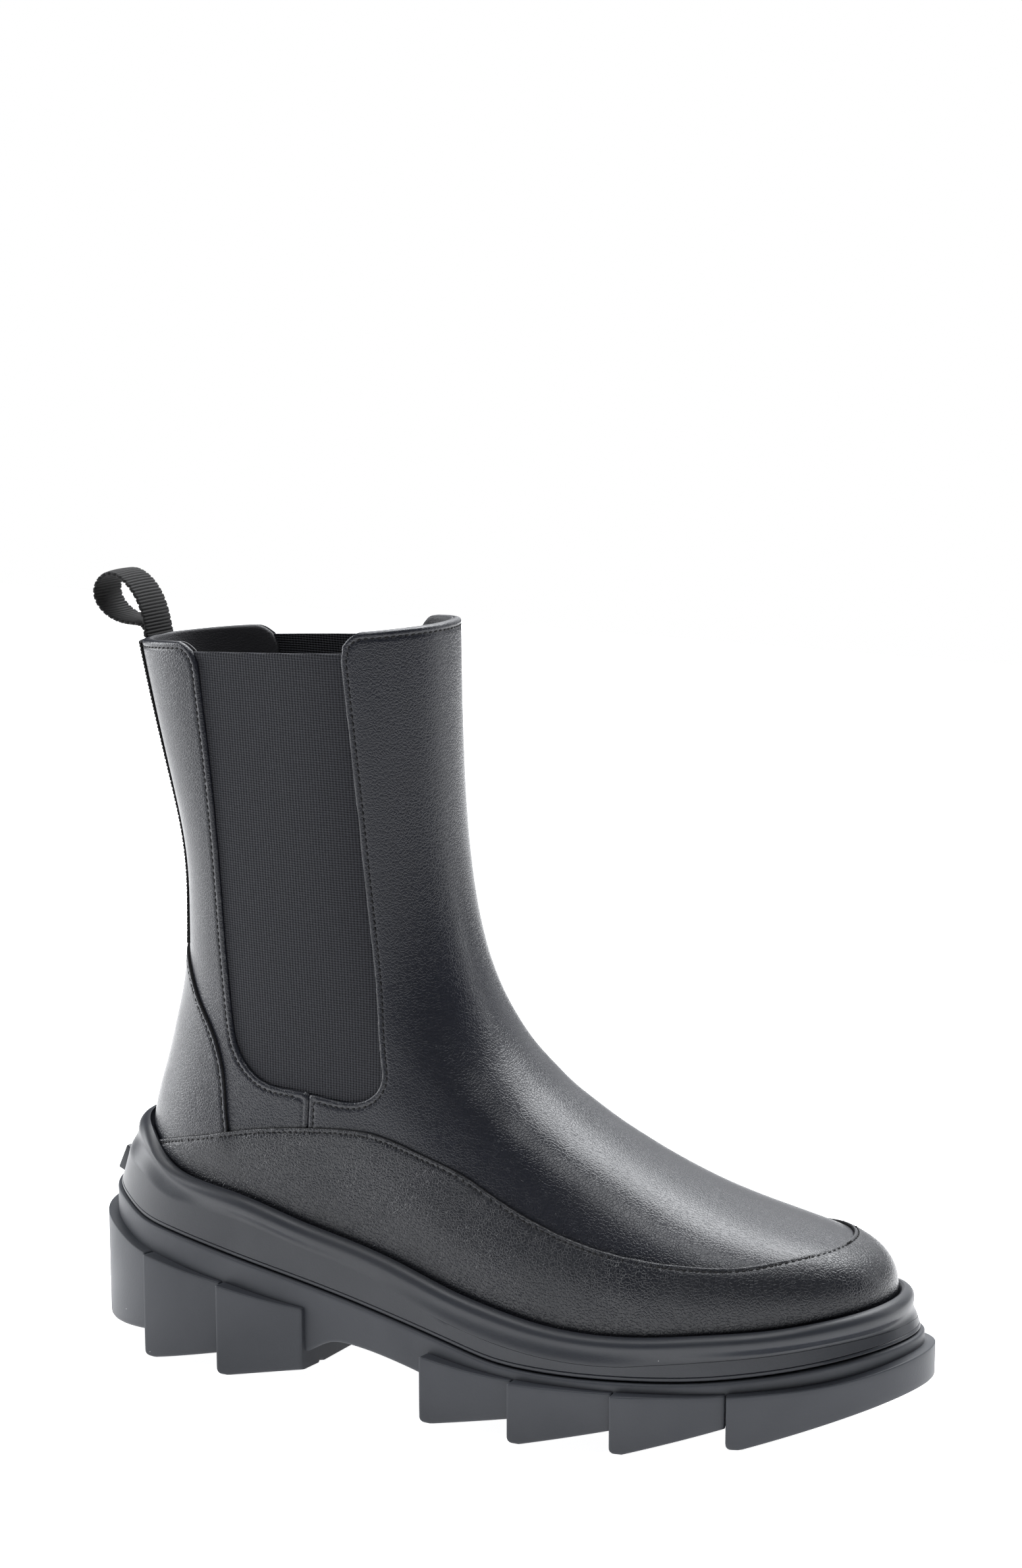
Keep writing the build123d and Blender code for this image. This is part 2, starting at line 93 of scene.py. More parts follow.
def last_point(v, angle):
    """Points of the leather's outer face in mm; angle 0 is the front, pi the back."""
    v, angle = np.broadcast_arrays(np.asarray(v, float), np.asarray(angle, float))
    rows = row_weights(v) @ LAST_ROWS
    heel_x, heel_z, front_x, front_z, heel_w, front_w, heel_q, front_q, dip = np.moveaxis(rows, -1, 0)
    t = (1 + np.cos(angle)) / 2
    blend = t * t * (3 - 2 * t)
    width = heel_w + (front_w - heel_w) * blend
    full = heel_q + (front_q - heel_q) * blend
    y = width * np.sin(angle) * (1 + full * np.cos(angle) ** 2)
    low = np.clip(1 - 2.2 * v, 0, 1) ** 1.5
    y = y + low * (6 * t * t - 1.5)
    inner = 1 - low * 0.09 * np.exp(-(((t - 0.42) / 0.17) ** 2))
    pinch = -0.05 * np.exp(-(((t - 0.36) / 0.15) ** 2)) + 0.04 * np.exp(-(((t - 0.62) / 0.18) ** 2))
    y = np.where(y > 0, y * inner, y * (1 + low * pinch))
    z = heel_z + (front_z - heel_z) * t + dip * sole_dip(t)
    return np.stack([heel_x + (front_x - heel_x) * t, y, z], axis=-1)


def last_normal(v, angle):
    """Outward directions of the last's surface."""
    v = np.clip(v, 0.004, 0.996)
    along = last_point(v, angle + 0.01) - last_point(v, angle - 0.01)
    up = last_point(v + 0.004, angle) - last_point(v - 0.004, angle)
    n = np.cross(along, up)
    return n / np.linalg.norm(n, axis=-1, keepdims=True)


def find_v(angle, gap, low=0.0, high=TOP_V):
    """Height v where gap(points) changes from below to above zero, for each angle."""
    a, b = np.full_like(angle, low), np.full_like(angle, high)
    for _ in range(32):
        m = (a + b) / 2
        up = gap(last_point(m, angle)) > 0
        a, b = np.where(up, a, m), np.where(up, m, b)
    return (a + b) / 2


def on_side(xz, side):
    """(v, angle) of side-view points on the outer (-1) or inner (1) side of the last."""
    x, z = np.array(xz, float).T

    def at(v):
        rows = row_weights(v) @ LAST_ROWS
        t = (x - rows[:, 0]) / (rows[:, 2] - rows[:, 0])
        height = rows[:, 1] + (rows[:, 3] - rows[:, 1]) * t + rows[:, 8] * sole_dip(t)
        return t, height

    a, b = np.zeros_like(x), np.full_like(x, TOP_V)
    for _ in range(40):
        m = (a + b) / 2
        up = at(m)[1] > z
        a, b = np.where(up, a, m), np.where(up, m, b)
    v = (a + b) / 2
    t = at(v)[0]
    good = (t > 0) & (t < 1) & (v > 1e-4) & (v < TOP_V - 1e-4)
    return v[good], side * np.arccos(2 * t[good] - 1)


def smooth_line(points, step=0.5, closed=False):
    """Cubic spline through points, resampled at about step mm."""
    p = np.array(points, float)
    if closed:
        p = np.concatenate([p[-3:], p, p[:4]])
    gaps = np.linalg.norm(np.diff(p, axis=0), axis=1)
    s = np.concatenate([[0], np.cumsum(gaps)])
    n = len(p)
    h = np.diff(s)
    matrix, right = np.zeros((n, n)), np.zeros_like(p)
    matrix[0, 0] = matrix[-1, -1] = 1
    for i in range(1, n - 1):
        matrix[i, i - 1 : i + 2] = h[i - 1], 2 * (h[i - 1] + h[i]), h[i]
        right[i] = 6 * ((p[i + 1] - p[i]) / h[i] - (p[i] - p[i - 1]) / h[i - 1])
    bend = np.linalg.solve(matrix, right)
    first, last = (3, n - 4) if closed else (0, n - 1)
    u = np.linspace(s[first], s[last], max(8, int((s[last] - s[first]) / step)) + 1)
    i = np.clip(np.searchsorted(s, u, side="right") - 1, 0, n - 2)
    a, b = (s[i + 1] - u)[:, None], (u - s[i])[:, None]
    hi = h[i][:, None]
    line = bend[i] * a**3 / (6 * hi) + bend[i + 1] * b**3 / (6 * hi)
    line += (p[i] / hi - bend[i] * hi / 6) * a + (p[i + 1] / hi - bend[i + 1] * hi / 6) * b
    return line


def height_line(points):
    """A side-view line as a function z(x)."""
    line = smooth_line(points, 0.4)
    order = np.argsort(line[:, 0])
    return lambda x: np.interp(x, line[order, 0], line[order, 1])


def inside(polygon, x, z):
    """Crossing test of side-view points against a closed line."""
    hit = np.zeros(np.shape(x), bool)
    for (x0, z0), (x1, z1) in zip(polygon, np.roll(polygon, -1, axis=0)):
        if z0 == z1:
            continue
        across = (z0 > z) != (z1 > z)
        hit ^= across & (x < (x1 - x0) * (z - z0) / (z1 - z0) + x0)
    return hit


MUDGUARD_SEAM = [(-150, 55), (-128, 62.5), (-120, 66.3), (-109, 70.6), (-97, 74), (-69, 80.9)]
MUDGUARD_SEAM += [(-52, 83.5), (-39, 84.8), (-27, 84.7), (-10, 80.8), (4, 76.8), (18, 70.8)]
MUDGUARD_SEAM += [(32, 65.5), (45.5, 61.9), (58, 59.8), (71, 58.9), (86.5, 58.8), (101, 59.9)]
MUDGUARD_SEAM += [(109.6, 61.4), (117.5, 62.4), (122, 62.7), (130, 63.4), (150, 65)]
WINDOW = [(-98.5, 262), (-96.9, 231.5), (-93.5, 204), (-90.6, 177.5), (-87.8, 141.5)]
WINDOW += [(-85.1, 116.4), (-81.8, 104.7), (-76.3, 98.6), (-69.9, 95.4), (-61, 94.6)]
WINDOW += [(-52.4, 94.2), (-42.3, 93.4), (-33.3, 94.4), (-28.7, 97.2), (-26.6, 100.9)]
WINDOW += [(-27.1, 107.4), (-29.7, 126.6), (-32.6, 147.6), (-36.8, 182.6), (-42.6, 235)]
WINDOW += [(-45.5, 262)]
QUARTER_TOP = [(-150, 229.5), (-128, 231.2), (-112, 232.9), (-100, 233.9), (-80, 235.5)]
VAMP_TOP = [(-60, 239.2), (-45, 240.6), (-32.3, 241.7), (-22, 242.7), (-5, 243.6)]
TOP_CORNER = 8.0
SIDE_SEAM_X = -52.7

seam_height = height_line(MUDGUARD_SEAM)
window_line = smooth_line(WINDOW, 0.3)
quarter_top, vamp_top = height_line(QUARTER_TOP), height_line(VAMP_TOP)
ring = np.linspace(-math.pi, math.pi, 2400, endpoint=False)


def level_curve(height, angles, low, high=TOP_V):
    """(v, angle) of the curve at the side-view height z(x), between two heights v."""
    return find_v(angles, lambda p: p[..., 2] - height(p[..., 0]), low, high), angles


def both_sides(xz):
    """(v, angle) of a side-view line laid on the outer and the inner side."""
    pairs = [on_side(xz, side) for side in (-1, 1)]
    return np.concatenate([p[0] for p in pairs]), np.concatenate([p[1] for p in pairs])


def cloud(*curves):
    """Search tree over curve points, to measure how far a vertex is from an edge."""
    pts = np.concatenate([last_point(v, a) for v, a in curves])
    tree = kdtree.KDTree(len(pts))
    for i, p in enumerate(pts):
        tree.insert(p, i)
    tree.balance()
    return tree


def distances(tree, pts):
    return np.array([tree.find(p)[2] for p in pts])


def round_corner(first, second, radius):
    """Distance inside two edges at once, with their corner rounded off."""
    a, b = radius - first, radius - second
    return np.where((a > 0) & (b > 0), radius - np.hypot(a, b), np.minimum(first, second))


window_cloud = cloud(both_sides(window_line))
vamp_top_cloud = cloud(
    both_sides(smooth_line(VAMP_TOP, 0.25)), level_curve(vamp_top, ring[np.abs(ring) < 0.8], 0.8)
)
quarter_top_cloud = cloud(
    both_sides(smooth_line(QUARTER_TOP, 0.25)), level_curve(quarter_top, ring[np.abs(ring) > 2.3], 0.8)
)


def new_object(name, mesh):
    obj = bpy.data.objects.new(name, mesh)
    bpy.context.scene.collection.objects.link(obj)
    return obj


def smooth_object(name, bm):
    mesh = bpy.data.meshes.new(name)
    bm.to_mesh(mesh)
    bm.free()
    mesh.shade_smooth()
    return new_object(name, mesh)


MESH_ROWS, MESH_COLUMNS = 150, 330
SEWN_IN = 2.0  # a folded edge's row of stitches, mm from the edge
edge_rows = {}


def cut_from_last(
    name, edge_distance, cuts, outer, inner, v_span=(0.0, TOP_V), angle_span=None, row=SEWN_IN, inked_and_shaded=False
):
    """A layer of the upper as a closed mesh.

    edge_distance(points, v, angle) is positive inside the piece; cuts are the distances
    from the edge at which mesh lines are laid, outer and inner(points, v, angle, d) the
    layer's two faces as heights above the last; row is how far in it is sewn, all in mm.
    An inked piece marks its cut edge for the material, which paints it near black: ink, and painted shade
    where the lapped edge steps down."""
    angles = np.linspace(-math.pi, math.pi, MESH_COLUMNS, endpoint=False)
    closed = angle_span is None
    if not closed:
        angles = angles[(angles >= angle_span[0]) & (angles <= angle_span[1])]
    heights = np.linspace(v_span[0], v_span[1], int(MESH_ROWS * (v_span[1] - v_span[0])) + 1)
    v, a = np.meshgrid(heights, angles, indexing="ij")
    d = edge_distance(last_point(v, a).reshape(-1, 3), v.ravel(), a.ravel()).reshape(v.shape)
    for level in cuts:
        d = np.where(np.abs(d - level) < 0.06, level, d)
    bm = bmesh.new()
    keys = [bm.verts.layers.float.new(k) for k in ("v", "a", "d")]
    ink_and_shade = bm.verts.layers.float.new("cut_edge")
    near = {}
    cols = len(angles)
    quads = []
    for i in range(len(heights) - 1):
        for j in range(cols if closed else cols - 1):
            k = (j + 1) % cols
            corner = [(i, j), (i, k), (i + 1, k), (i + 1, j)]
            if max(d[c] for c in corner) > 0:
                quads.append(corner)
    for corner in quads:
        for c in corner:
            if c not in near:
                vert = bm.verts.new()
                vert[keys[0]], vert[keys[1]], vert[keys[2]] = v[c], a[c], d[c]
                near[c] = vert
        bm.faces.new([near[c] for c in corner])
    for level in cuts:
        for edge in list(bm.edges):
            p, q = edge.verts
            dp, dq = p[keys[2]] - level, q[keys[2]] - level
            if dp * dq < -1e-12:
                share = dp / (dp - dq)
                ap, aq = p[keys[1]], q[keys[1]]
                if aq - ap > math.pi:
                    aq -= 2 * math.pi
                if aq - ap < -math.pi:
                    aq += 2 * math.pi
                vp, vq = p[keys[0]], q[keys[0]]
                _, vert = bmesh.utils.edge_split(edge, p, 0.5)
                vert[keys[0]] = vp + (vq - vp) * share
                vert[keys[1]] = ap + (aq - ap) * share
                vert[keys[2]] = level
        for face in list(bm.faces):
            on = [vert for vert in face.verts if abs(vert[keys[2]] - level) < 1e-6]
            if len(on) == 2 and not any(e in face.edges for e in on[0].link_edges if on[1] in e.verts):
                bmesh.utils.face_split(face, on[0], on[1])
    outside = [f for f in bm.faces if sum(vert[keys[2]] for vert in f.verts) < 1e-6]
    bmesh.ops.delete(bm, geom=outside, context="FACES")
    loose = [vert for vert in bm.verts if not vert.link_faces]
    bmesh.ops.delete(bm, geom=loose, context="VERTS")
    bm.verts.index_update()
    data = np.array([[vert[k] for k in keys] for vert in bm.verts])
    pts, normals = last_point(data[:, 0], data[:, 1]), last_normal(data[:, 0], data[:, 1])
    top = pts + normals * outer(pts, *data.T)[:, None]
    low = pts + normals * inner(pts, *data.T)[:, None]
    ends = [[vert.index for vert in edge.verts] for edge in bm.edges]
    ends = [pair for pair in ends if max(abs(data[k, 2] - row) for k in pair) < 1e-5]
    edge_rows[name] = (top, normals, ends)
    front = list(bm.verts)
    back = [bm.verts.new(p * MM) for p in low]
    for vert, twin, p in zip(front, back, top):
        vert.co = p * MM
        # Marks the cut edge, which the material paints near black: ink, and painted shade of the step.
        vert[ink_and_shade] = twin[ink_and_shade] = float(inked_and_shaded and vert[keys[2]] < 0.1)
    front_faces = list(bm.faces)
    rim = [e for e in bm.edges if len(e.link_faces) == 1]
    for face in front_faces:
        bm.faces.new([back[vert.index] for vert in reversed(face.verts)])
    for edge in rim:
        loop = edge.link_loops[0]
        a0, b0 = loop.vert, loop.link_loop_next.vert
        bm.faces.new([b0, a0, back[a0.index], back[b0.index]])
    bm.normal_update()
    return smooth_object(name, bm)


def folded_edge(d, drop=0.8, radius=1.1):
    """Height lost near a folded edge, and the shallow channel under the stitches."""
    near = np.clip(1 - d / radius, 0, 1)
    rounding = -drop * (1 - np.sqrt(np.clip(1 - near**2, 0, 1)))
    channel = -0.26 * np.exp(-(((d - SEWN_IN) / 0.4) ** 2))
    return rounding + channel


LEATHER_CUTS = (0.0, 0.25, 0.6, 1.1, 1.6, SEWN_IN, 2.5, 3.4)


UNDER_MUDGUARD = 9.0  # how far vamp and quarters run down behind the mudguard


def under_mudguard(p):
    """How far a point is above the leather's hidden lower edge."""
    return (p[:, 2] - seam_height(p[:, 0]) + UNDER_MUDGUARD) * 0.9


def beside_window(p, edge_cloud, height):
    """Distance inside the window's edge and the topline, rounded where they meet."""
    x, z = p[:, 0], p[:, 2]
    window = distances(window_cloud, p) * np.where(inside(window_line, x, z), -1, 1)
    top = distances(edge_cloud, p) * np.where(z > height(x), -1, 1)
    top = np.where(z < 200, 99.0, top)
    return round_corner(window, top, TOP_CORNER)


def vamp_distance(p, v, a):
    """In front of the window above, and in front of the side seam below it."""
    x, z = p[:, 0], p[:, 2]
    d = beside_window(p, vamp_top_cloud, vamp_top)
    seam = x - SIDE_SEAM_X
    outside = (d < 0) | (x < -46) & (z > 110) | (z < 120) & (seam < 0)
    d = np.abs(d)
    low = (z < 100) & (x < -20)
    d = np.where(low, np.minimum(d, np.abs(seam)), d)
    d = np.minimum(d, np.abs(under_mudguard(p)))
    outside |= under_mudguard(p) < 0
    return np.where(outside, -d, d)


def vamp_outer(p, v, a, d):
    return folded_edge(d) + leather_ease(p)


def leather_ease(p):
    """Soft waves of the leather over ankle and instep, fading out towards the toe."""
    x, y, z = p[:, 0], p[:, 1], p[:, 2]
    ankle = np.exp(-(((x - 5) / 38) ** 2) - (((z - 96) / 22) ** 2))
    wave = np.sin(0.16 * (x + 1.3 * z) + 0.05 * y) + 0.6 * np.sin(0.29 * (x - 0.5 * z) + 1.0)
    return 0.16 * ankle * wave


def leather_back(p, v, a, d):
    """The turned-in edge doubles the leather along the topline, where no elastic lies."""
    top = np.where(p[:, 0] > -70, vamp_top(p[:, 0]), quarter_top(p[:, 0]))
    near = np.clip((p[:, 2] - top + 9) / 3, 0, 1)
    clear = np.clip((distances(window_cloud, p) - 6.5) / 1.5, 0, 1)
    return -1.42 - 1.0 * near * clear


vamp = cut_from_last("vamp_leather", vamp_distance, LEATHER_CUTS, vamp_outer, leather_back)


# The vamp's leather: aniline-dyed calf, finished semi-gloss, with a fine rounded grain.
def group_tree(name, inputs, outputs):
    """A shader group of plain number sockets, with its input and its output node."""
    tree = bpy.data.node_groups.new(name, "ShaderNodeTree")
    for label, value in inputs.items():
        socket = tree.interface.new_socket(label, in_out="INPUT", socket_type="NodeSocketFloat")
        socket.default_value = value
    for label in outputs:
        tree.interface.new_socket(label, in_out="OUTPUT", socket_type="NodeSocketFloat")
    return tree, tree.nodes.new("NodeGroupInput"), tree.nodes.new("NodeGroupOutput")


def node(tree, kind, inputs=None, **settings):
    """Adds a node; inputs maps socket name or number to a value or to a node's output."""
    made = tree.nodes.new(kind)
    for key, value in settings.items():
        setattr(made, key, value)
    for key, value in (inputs or {}).items():
        socket = made.inputs[key]
        if isinstance(value, bpy.types.NodeSocket):
            tree.links.new(value, socket)
        else:
            socket.default_value = value
    return made


def math_node(tree, operation, a, b=0.0, c=0.0):
    made = node(tree, "ShaderNodeMath", {0: a, 1: b, 2: c}, operation=operation)
    return made.outputs[0]


def object_place(tree):
    return node(tree, "ShaderNodeTexCoord").outputs["Object"]


def noise(tree, where, scale, detail, distortion=0.0):
    values = {"Vector": where, "Scale": scale, "Detail": detail, "Distortion": distortion}
    return node(tree, "ShaderNodeTexNoise", values).outputs[0]


def map_range(tree, value, low, high, to_low=0.0, to_high=1.0, kind="SMOOTHSTEP"):
    values = {"Value": value, "From Min": low, "From Max": high, "To Min": to_low, "To Max": to_high}
    return node(tree, "ShaderNodeMapRange", values, interpolation_type=kind).outputs[0]


def mix_colours(tree, factor, first, second):
    """Colour between two; each is a colour or another node's output."""
    ends = [c if isinstance(c, bpy.types.NodeSocket) else (*c, 1) for c in (first, second)]
    values = {"Factor": factor, "A": ends[0], "B": ends[1]}
    return node(tree, "ShaderNodeMix", values, data_type="RGBA").outputs["Result"]


def add_bump(tree, shader, height, depth):
    bump = node(tree, "ShaderNodeBump", {"Height": height, "Distance": depth, "Strength": 1.0})
    tree.links.new(bump.outputs["Normal"], shader.inputs["Normal"])


def build_grain():
    """Calf grain: small rounded cells, broken by finer pores, in places stretched flat."""
    tree, put, out = group_tree("calf_grain", {"Cell": 900.0}, ("Height", "Mask"))
    where = object_place(tree)
    warp = node(tree, "ShaderNodeTexNoise", {"Vector": where, "Scale": 420.0, "Detail": 2.0})
    shift = node(tree, "ShaderNodeVectorMath", {0: warp.outputs["Color"], "Scale": 0.0013}, operation="SCALE")
    moved = node(tree, "ShaderNodeVectorMath", {0: where, 1: shift.outputs[0]}, operation="ADD")
    cell = node(tree, "ShaderNodeTexVoronoi", {"Vector": moved.outputs[0], "Scale": put.outputs["Cell"]})
    cell.feature = "DISTANCE_TO_EDGE"
    rounded = map_range(tree, cell.outputs["Distance"], 0.0, 0.22)
    pores = noise(tree, where, 2600.0, 2.0)
    area = noise(tree, where, 26.0, 3.0)
    strength = map_range(tree, area, 0.25, 0.75, 0.8, 1.0)
    height = math_node(tree, "MULTIPLY_ADD", pores, 0.35, rounded)
    tree.links.new(math_node(tree, "MULTIPLY", height, strength), out.inputs["Height"])
    tree.links.new(area, out.inputs["Mask"])
    return tree


GRAIN = build_grain()


def use_group(tree, group, values):
    made = node(tree, "ShaderNodeGroup", node_tree=group)
    for key, value in values.items():
        made.inputs[key].default_value = value
    return made


def finish_material(name, roughness, specular=0.5):
    """A material with its node tree and its Principled shader."""
    mat = bpy.data.materials.new(name)
    mat.use_nodes = True
    shader = mat.node_tree.nodes["Principled BSDF"]
    shader.inputs["Roughness"].default_value = roughness
    shader.inputs["Specular IOR Level"].default_value = specular
    return mat, mat.node_tree, shader


# Near black for the cut edges of lapped pieces: their ink, and painted shade where the edge steps down to the
# leather under it.
EDGE_INK_AND_SHADE = (0.002, 0.002, 0.0025)
INK_MATTE = 0.6  # what the ink adds to the roughness


def leather(name, dark, light, rough_low, rough_high, cell=1000.0, depth=0.000045):
    """Finished leather: grain, slow changes of colour and gloss, and matte near-black cut edges, which are
    ink and painted shade of the step.
    """
    mat, tree, shader = finish_material(name, rough_low, 0.42)
    grain = use_group(tree, GRAIN, {"Cell": cell})
    shade = mix_colours(tree, grain.outputs["Mask"], dark, light)
    ink_and_shade = node(tree, "ShaderNodeAttribute", attribute_name="cut_edge").outputs["Fac"]
    # Painted shade: the cut edge's near-black colour stands for its ink and for the shade at the step.
    tree.links.new(mix_colours(tree, ink_and_shade, shade, EDGE_INK_AND_SHADE), shader.inputs["Base Color"])
    rough = map_range(tree, grain.outputs["Mask"], 0.3, 0.7, rough_high, rough_low)
    matte = node(
        tree, "ShaderNodeMath", {0: ink_and_shade, 1: INK_MATTE, 2: rough}, operation="MULTIPLY_ADD", use_clamp=True
    )
    tree.links.new(matte.outputs[0], shader.inputs["Roughness"])
    add_bump(tree, shader, grain.outputs["Height"], depth)
    return mat


UPPER_LEATHER = leather("black_calf", (0.0078, 0.0085, 0.0125), (0.0118, 0.013, 0.0185), 0.285, 0.345)
vamp.data.materials.append(UPPER_LEATHER)
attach(vamp, "boot")
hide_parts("vamp")


# --- Quarters -------------------------------------------------------------------------
# Two strips of the same calf leather behind the elastic, joined at the back seam.
# Their front ends meet the vamp in a short side seam; the upper edges are folded.
def quarter_distance(side):
    """Behind window and side seam, on one side of the back seam."""
    def distance(p, v, a):
        x, z = p[:, 0], p[:, 2]
        d = beside_window(p, quarter_top_cloud, quarter_top)
        seam = SIDE_SEAM_X - x
        outside = (d < 0) | (seam < 0) | (x > -80) & (z > 110)
        d = np.abs(d)
        d = np.where(z < 100, np.minimum(d, np.abs(seam)), d)
        d = np.minimum(d, np.abs(under_mudguard(p)))
        outside |= under_mudguard(p) < 0
        middle = p[:, 1] * side
        outside |= middle < 0.0
        d = np.minimum(d, np.abs(middle) + 0.8)
        return np.where(outside, -np.abs(d), d)

    return distance


def quarter_outer(p, v, a, d):
    """A folded edge, and a furrow where the two quarters meet at the back."""
    seam = np.exp(-((p[:, 1] / 1.0) ** 2)) * (p[:, 0] < -100)
    return folded_edge(d) - 0.3 * seam


for side, word in ((-1, "lateral"), (1, "medial")):
    quarter = cut_from_last(
        "quarter_leather_" + word, quarter_distance(side), LEATHER_CUTS, quarter_outer, leather_back,
        angle_span=(-math.pi, -1.6) if side < 0 else (1.6, math.pi),
    )
    quarter.data.materials.append(UPPER_LEATHER)
    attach(quarter, "boot")
    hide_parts("quarter_" + word)


# --- Heel patch -----------------------------------------------------------------------
# A leaf of calf leather lapped over both quarters at the heel, its edge cut, inked and
# sewn down with one row; its near-black edge is ink and painted shade of the step.
HEEL_PATCH_EDGE = [(-130, 136.5), (-116, 136), (-108, 129.8), (-99.7, 118.1), (-93, 109.7)]
HEEL_PATCH_EDGE += [(-88.6, 101.8), (-86.4, 94.5), (-84.6, 83.9), (-83, 76), (-82, 60)]
heel_patch_line = smooth_line(HEEL_PATCH_EDGE, 0.2)
heel_patch_region = np.concatenate([heel_patch_line, [(-150, 60), (-150, 136.5)]])
patch_height = lambda x: np.interp(x, heel_patch_line[:, 0], heel_patch_line[:, 1])
heel_patch_cloud = cloud(
    both_sides(heel_patch_line), level_curve(patch_height, ring[np.abs(ring) > 2.95], 0.3, 0.8)
)
LAP_SEWN_IN = 1.35  # a cut edge's row of stitches, mm from the edge
RAW_CUTS = (0.0, 0.2, 0.5, 0.9, LAP_SEWN_IN, 1.8, 2.6, 3.6)
PATCH_UNDER_MUDGUARD = 5.0
OVERLAY = 1.1  # how far a lapped piece stands above the leather under it


def raw_edge(d, height, radius=0.4):
    """Height of a lapped piece: a cut edge, barely rounded, and the channel of its stitches."""
    near = np.clip(1 - d / radius, 0, 1)
    rounding = -0.35 * height * (1 - np.sqrt(np.clip(1 - near**2, 0, 1)))
    channel = -0.28 * np.exp(-(((d - LAP_SEWN_IN) / 0.38) ** 2))
    return height + rounding + channel


def heel_patch_distance(p, v, a):
    """Inside the cut edge, and down to just below the mudguard's upper edge."""
    d = distances(heel_patch_cloud, p)
    outside = ~inside(heel_patch_region, p[:, 0], p[:, 2])
    low = p[:, 2] - seam_height(p[:, 0]) + PATCH_UNDER_MUDGUARD
    d = np.minimum(d, np.abs(low))
    outside |= low < 0
    return np.where(outside, -d, d)


def flat_layer(height):
    """A layer's face at one height above the last."""
    return lambda p, v, a, d: np.full(len(p), height)


heel_patch = cut_from_last(
    "heel_patch_leather", heel_patch_distance, RAW_CUTS, lambda p, v, a, d: raw_edge(d, OVERLAY),
    flat_layer(0.0), v_span=(0.0, 0.7), row=LAP_SEWN_IN, inked_and_shaded=True,
)
heel_patch.data.materials.append(UPPER_LEATHER)
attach(heel_patch, "boot")
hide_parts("heel_patch")


# --- Mudguard -------------------------------------------------------------------------
# A band of calf leather round the whole foot, lapped over vamp, quarters and heel patch,
# sewn along its upper edge and lasted under the foot inside the sole's rim.
seam_cloud = cloud(level_curve(seam_height, ring[np.abs(ring) < math.radians(170)], 0.002, 0.6))


def mudguard_distance(p, v, a):
    """Everything below the mudguard's upper edge."""
    d = distances(seam_cloud, p)
    return np.where(p[:, 2] > seam_height(p[:, 0]), -d, d)


def mudguard_outer(p, v, a, d):
    """Steps up over the heel patch, settles towards the sole, waves at waist and toe."""
    x, y, z = p[:, 0], p[:, 1], p[:, 2]
    over_patch = 1 / (1 + np.exp((x + 82.0) / 1.5)) * (1 - np.clip((d - 5) / 8, 0, 1))
    height = OVERLAY + 0.95 * over_patch
    settle = -0.35 * np.clip((d - 3) / 12, 0, 1)
    waist = np.exp(-(((x + 8) / 34) ** 2)) * np.exp(-(((z - 66) / 11) ** 2))
    wave = np.sin(0.21 * x - 0.16 * z + 0.6) + 0.8 * np.sin(0.12 * x + 0.2 * z + 2.2)
    toe = np.exp(-(((x - 72) / 26) ** 2)) * np.exp(-(((z - 49) / 7) ** 2))
    ripple = np.sin(0.33 * x + 0.1 * z)
    return raw_edge(d, height) + settle + 0.22 * waist * wave + 0.1 * toe * ripple


# Its cut edge is painted near black: ink, and painted shade of the step.
mudguard = cut_from_last(
    "mudguard_leather", mudguard_distance, RAW_CUTS, mudguard_outer,
    flat_layer(0.0), v_span=(0.0, 0.5), row=LAP_SEWN_IN, inked_and_shaded=True,
)
MUDGUARD_LEATHER = leather(
    "black_calf_mudguard", (0.007, 0.0077, 0.0108), (0.011, 0.012, 0.016), 0.30, 0.42, 950.0, 0.00007
)
mudguard.data.materials.append(MUDGUARD_LEATHER)
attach(mudguard, "boot")
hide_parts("mudguard")


# --- Elastic gussets ------------------------------------------------------------------
# Woven elastic, 1 mm thick, sewn between leather and lining behind the window's edge;
# its top is a woven selvedge.  It is the boot's only stretch, so it is held taut.
ELASTIC_TOP = [(-115, 229.8), (-97, 231), (-42.6, 234.6), (-25, 235.8)]
elastic_top = height_line(ELASTIC_TOP)
elastic_top_line = smooth_line([(x, elastic_top(x)) for x in (-108, -70, -20)], 0.2)
elastic_top_cloud = cloud(both_sides(elastic_top_line))
TUCK = 5.5  # how far the elastic runs under the leather


def gusset_distance(side):
    """The window widened by the tuck, cut off at the elastic's own upper edge."""
    def distance(p, v, a):
        x, z = p[:, 0], p[:, 2]
        within = inside(window_line, x, z)
        edge = distances(window_cloud, p)
        d = np.where(within, TUCK + edge, TUCK - edge)
        top = np.abs(distances(elastic_top_cloud, p))
        above = z > elastic_top(x)
        d = np.where(above, -top, np.minimum(d, top))
        return np.where(p[:, 1] * side > 0, d, -np.abs(d) - 1)

    return distance


def gusset_outer(p, v, a, d):
    """Flat behind the leather, with a woven bead and a furrow under its upper edge."""
    near = np.clip(1 - d / 0.5, 0, 1)
    below_top = elastic_top(p[:, 0]) - p[:, 2]
    selvedge = 0.18 * np.exp(-(((below_top - 1.1) / 0.7) ** 2))
    furrow = 0.12 * np.exp(-(((below_top - 2.5) / 0.35) ** 2))
    return -1.46 + selvedge - furrow - 0.3 * (1 - np.sqrt(np.clip(1 - near**2, 0, 1)))


CORE_PITCH, ROW_PITCH = 1.05 * MM, 0.78 * MM
# Colour of the raised yarn, and a near-black painted shade for the furrows of the weave.
ELASTIC_FURROW_SHADE, ELASTIC_YARN = (0.005, 0.0052, 0.0065), (0.034, 0.035, 0.042)


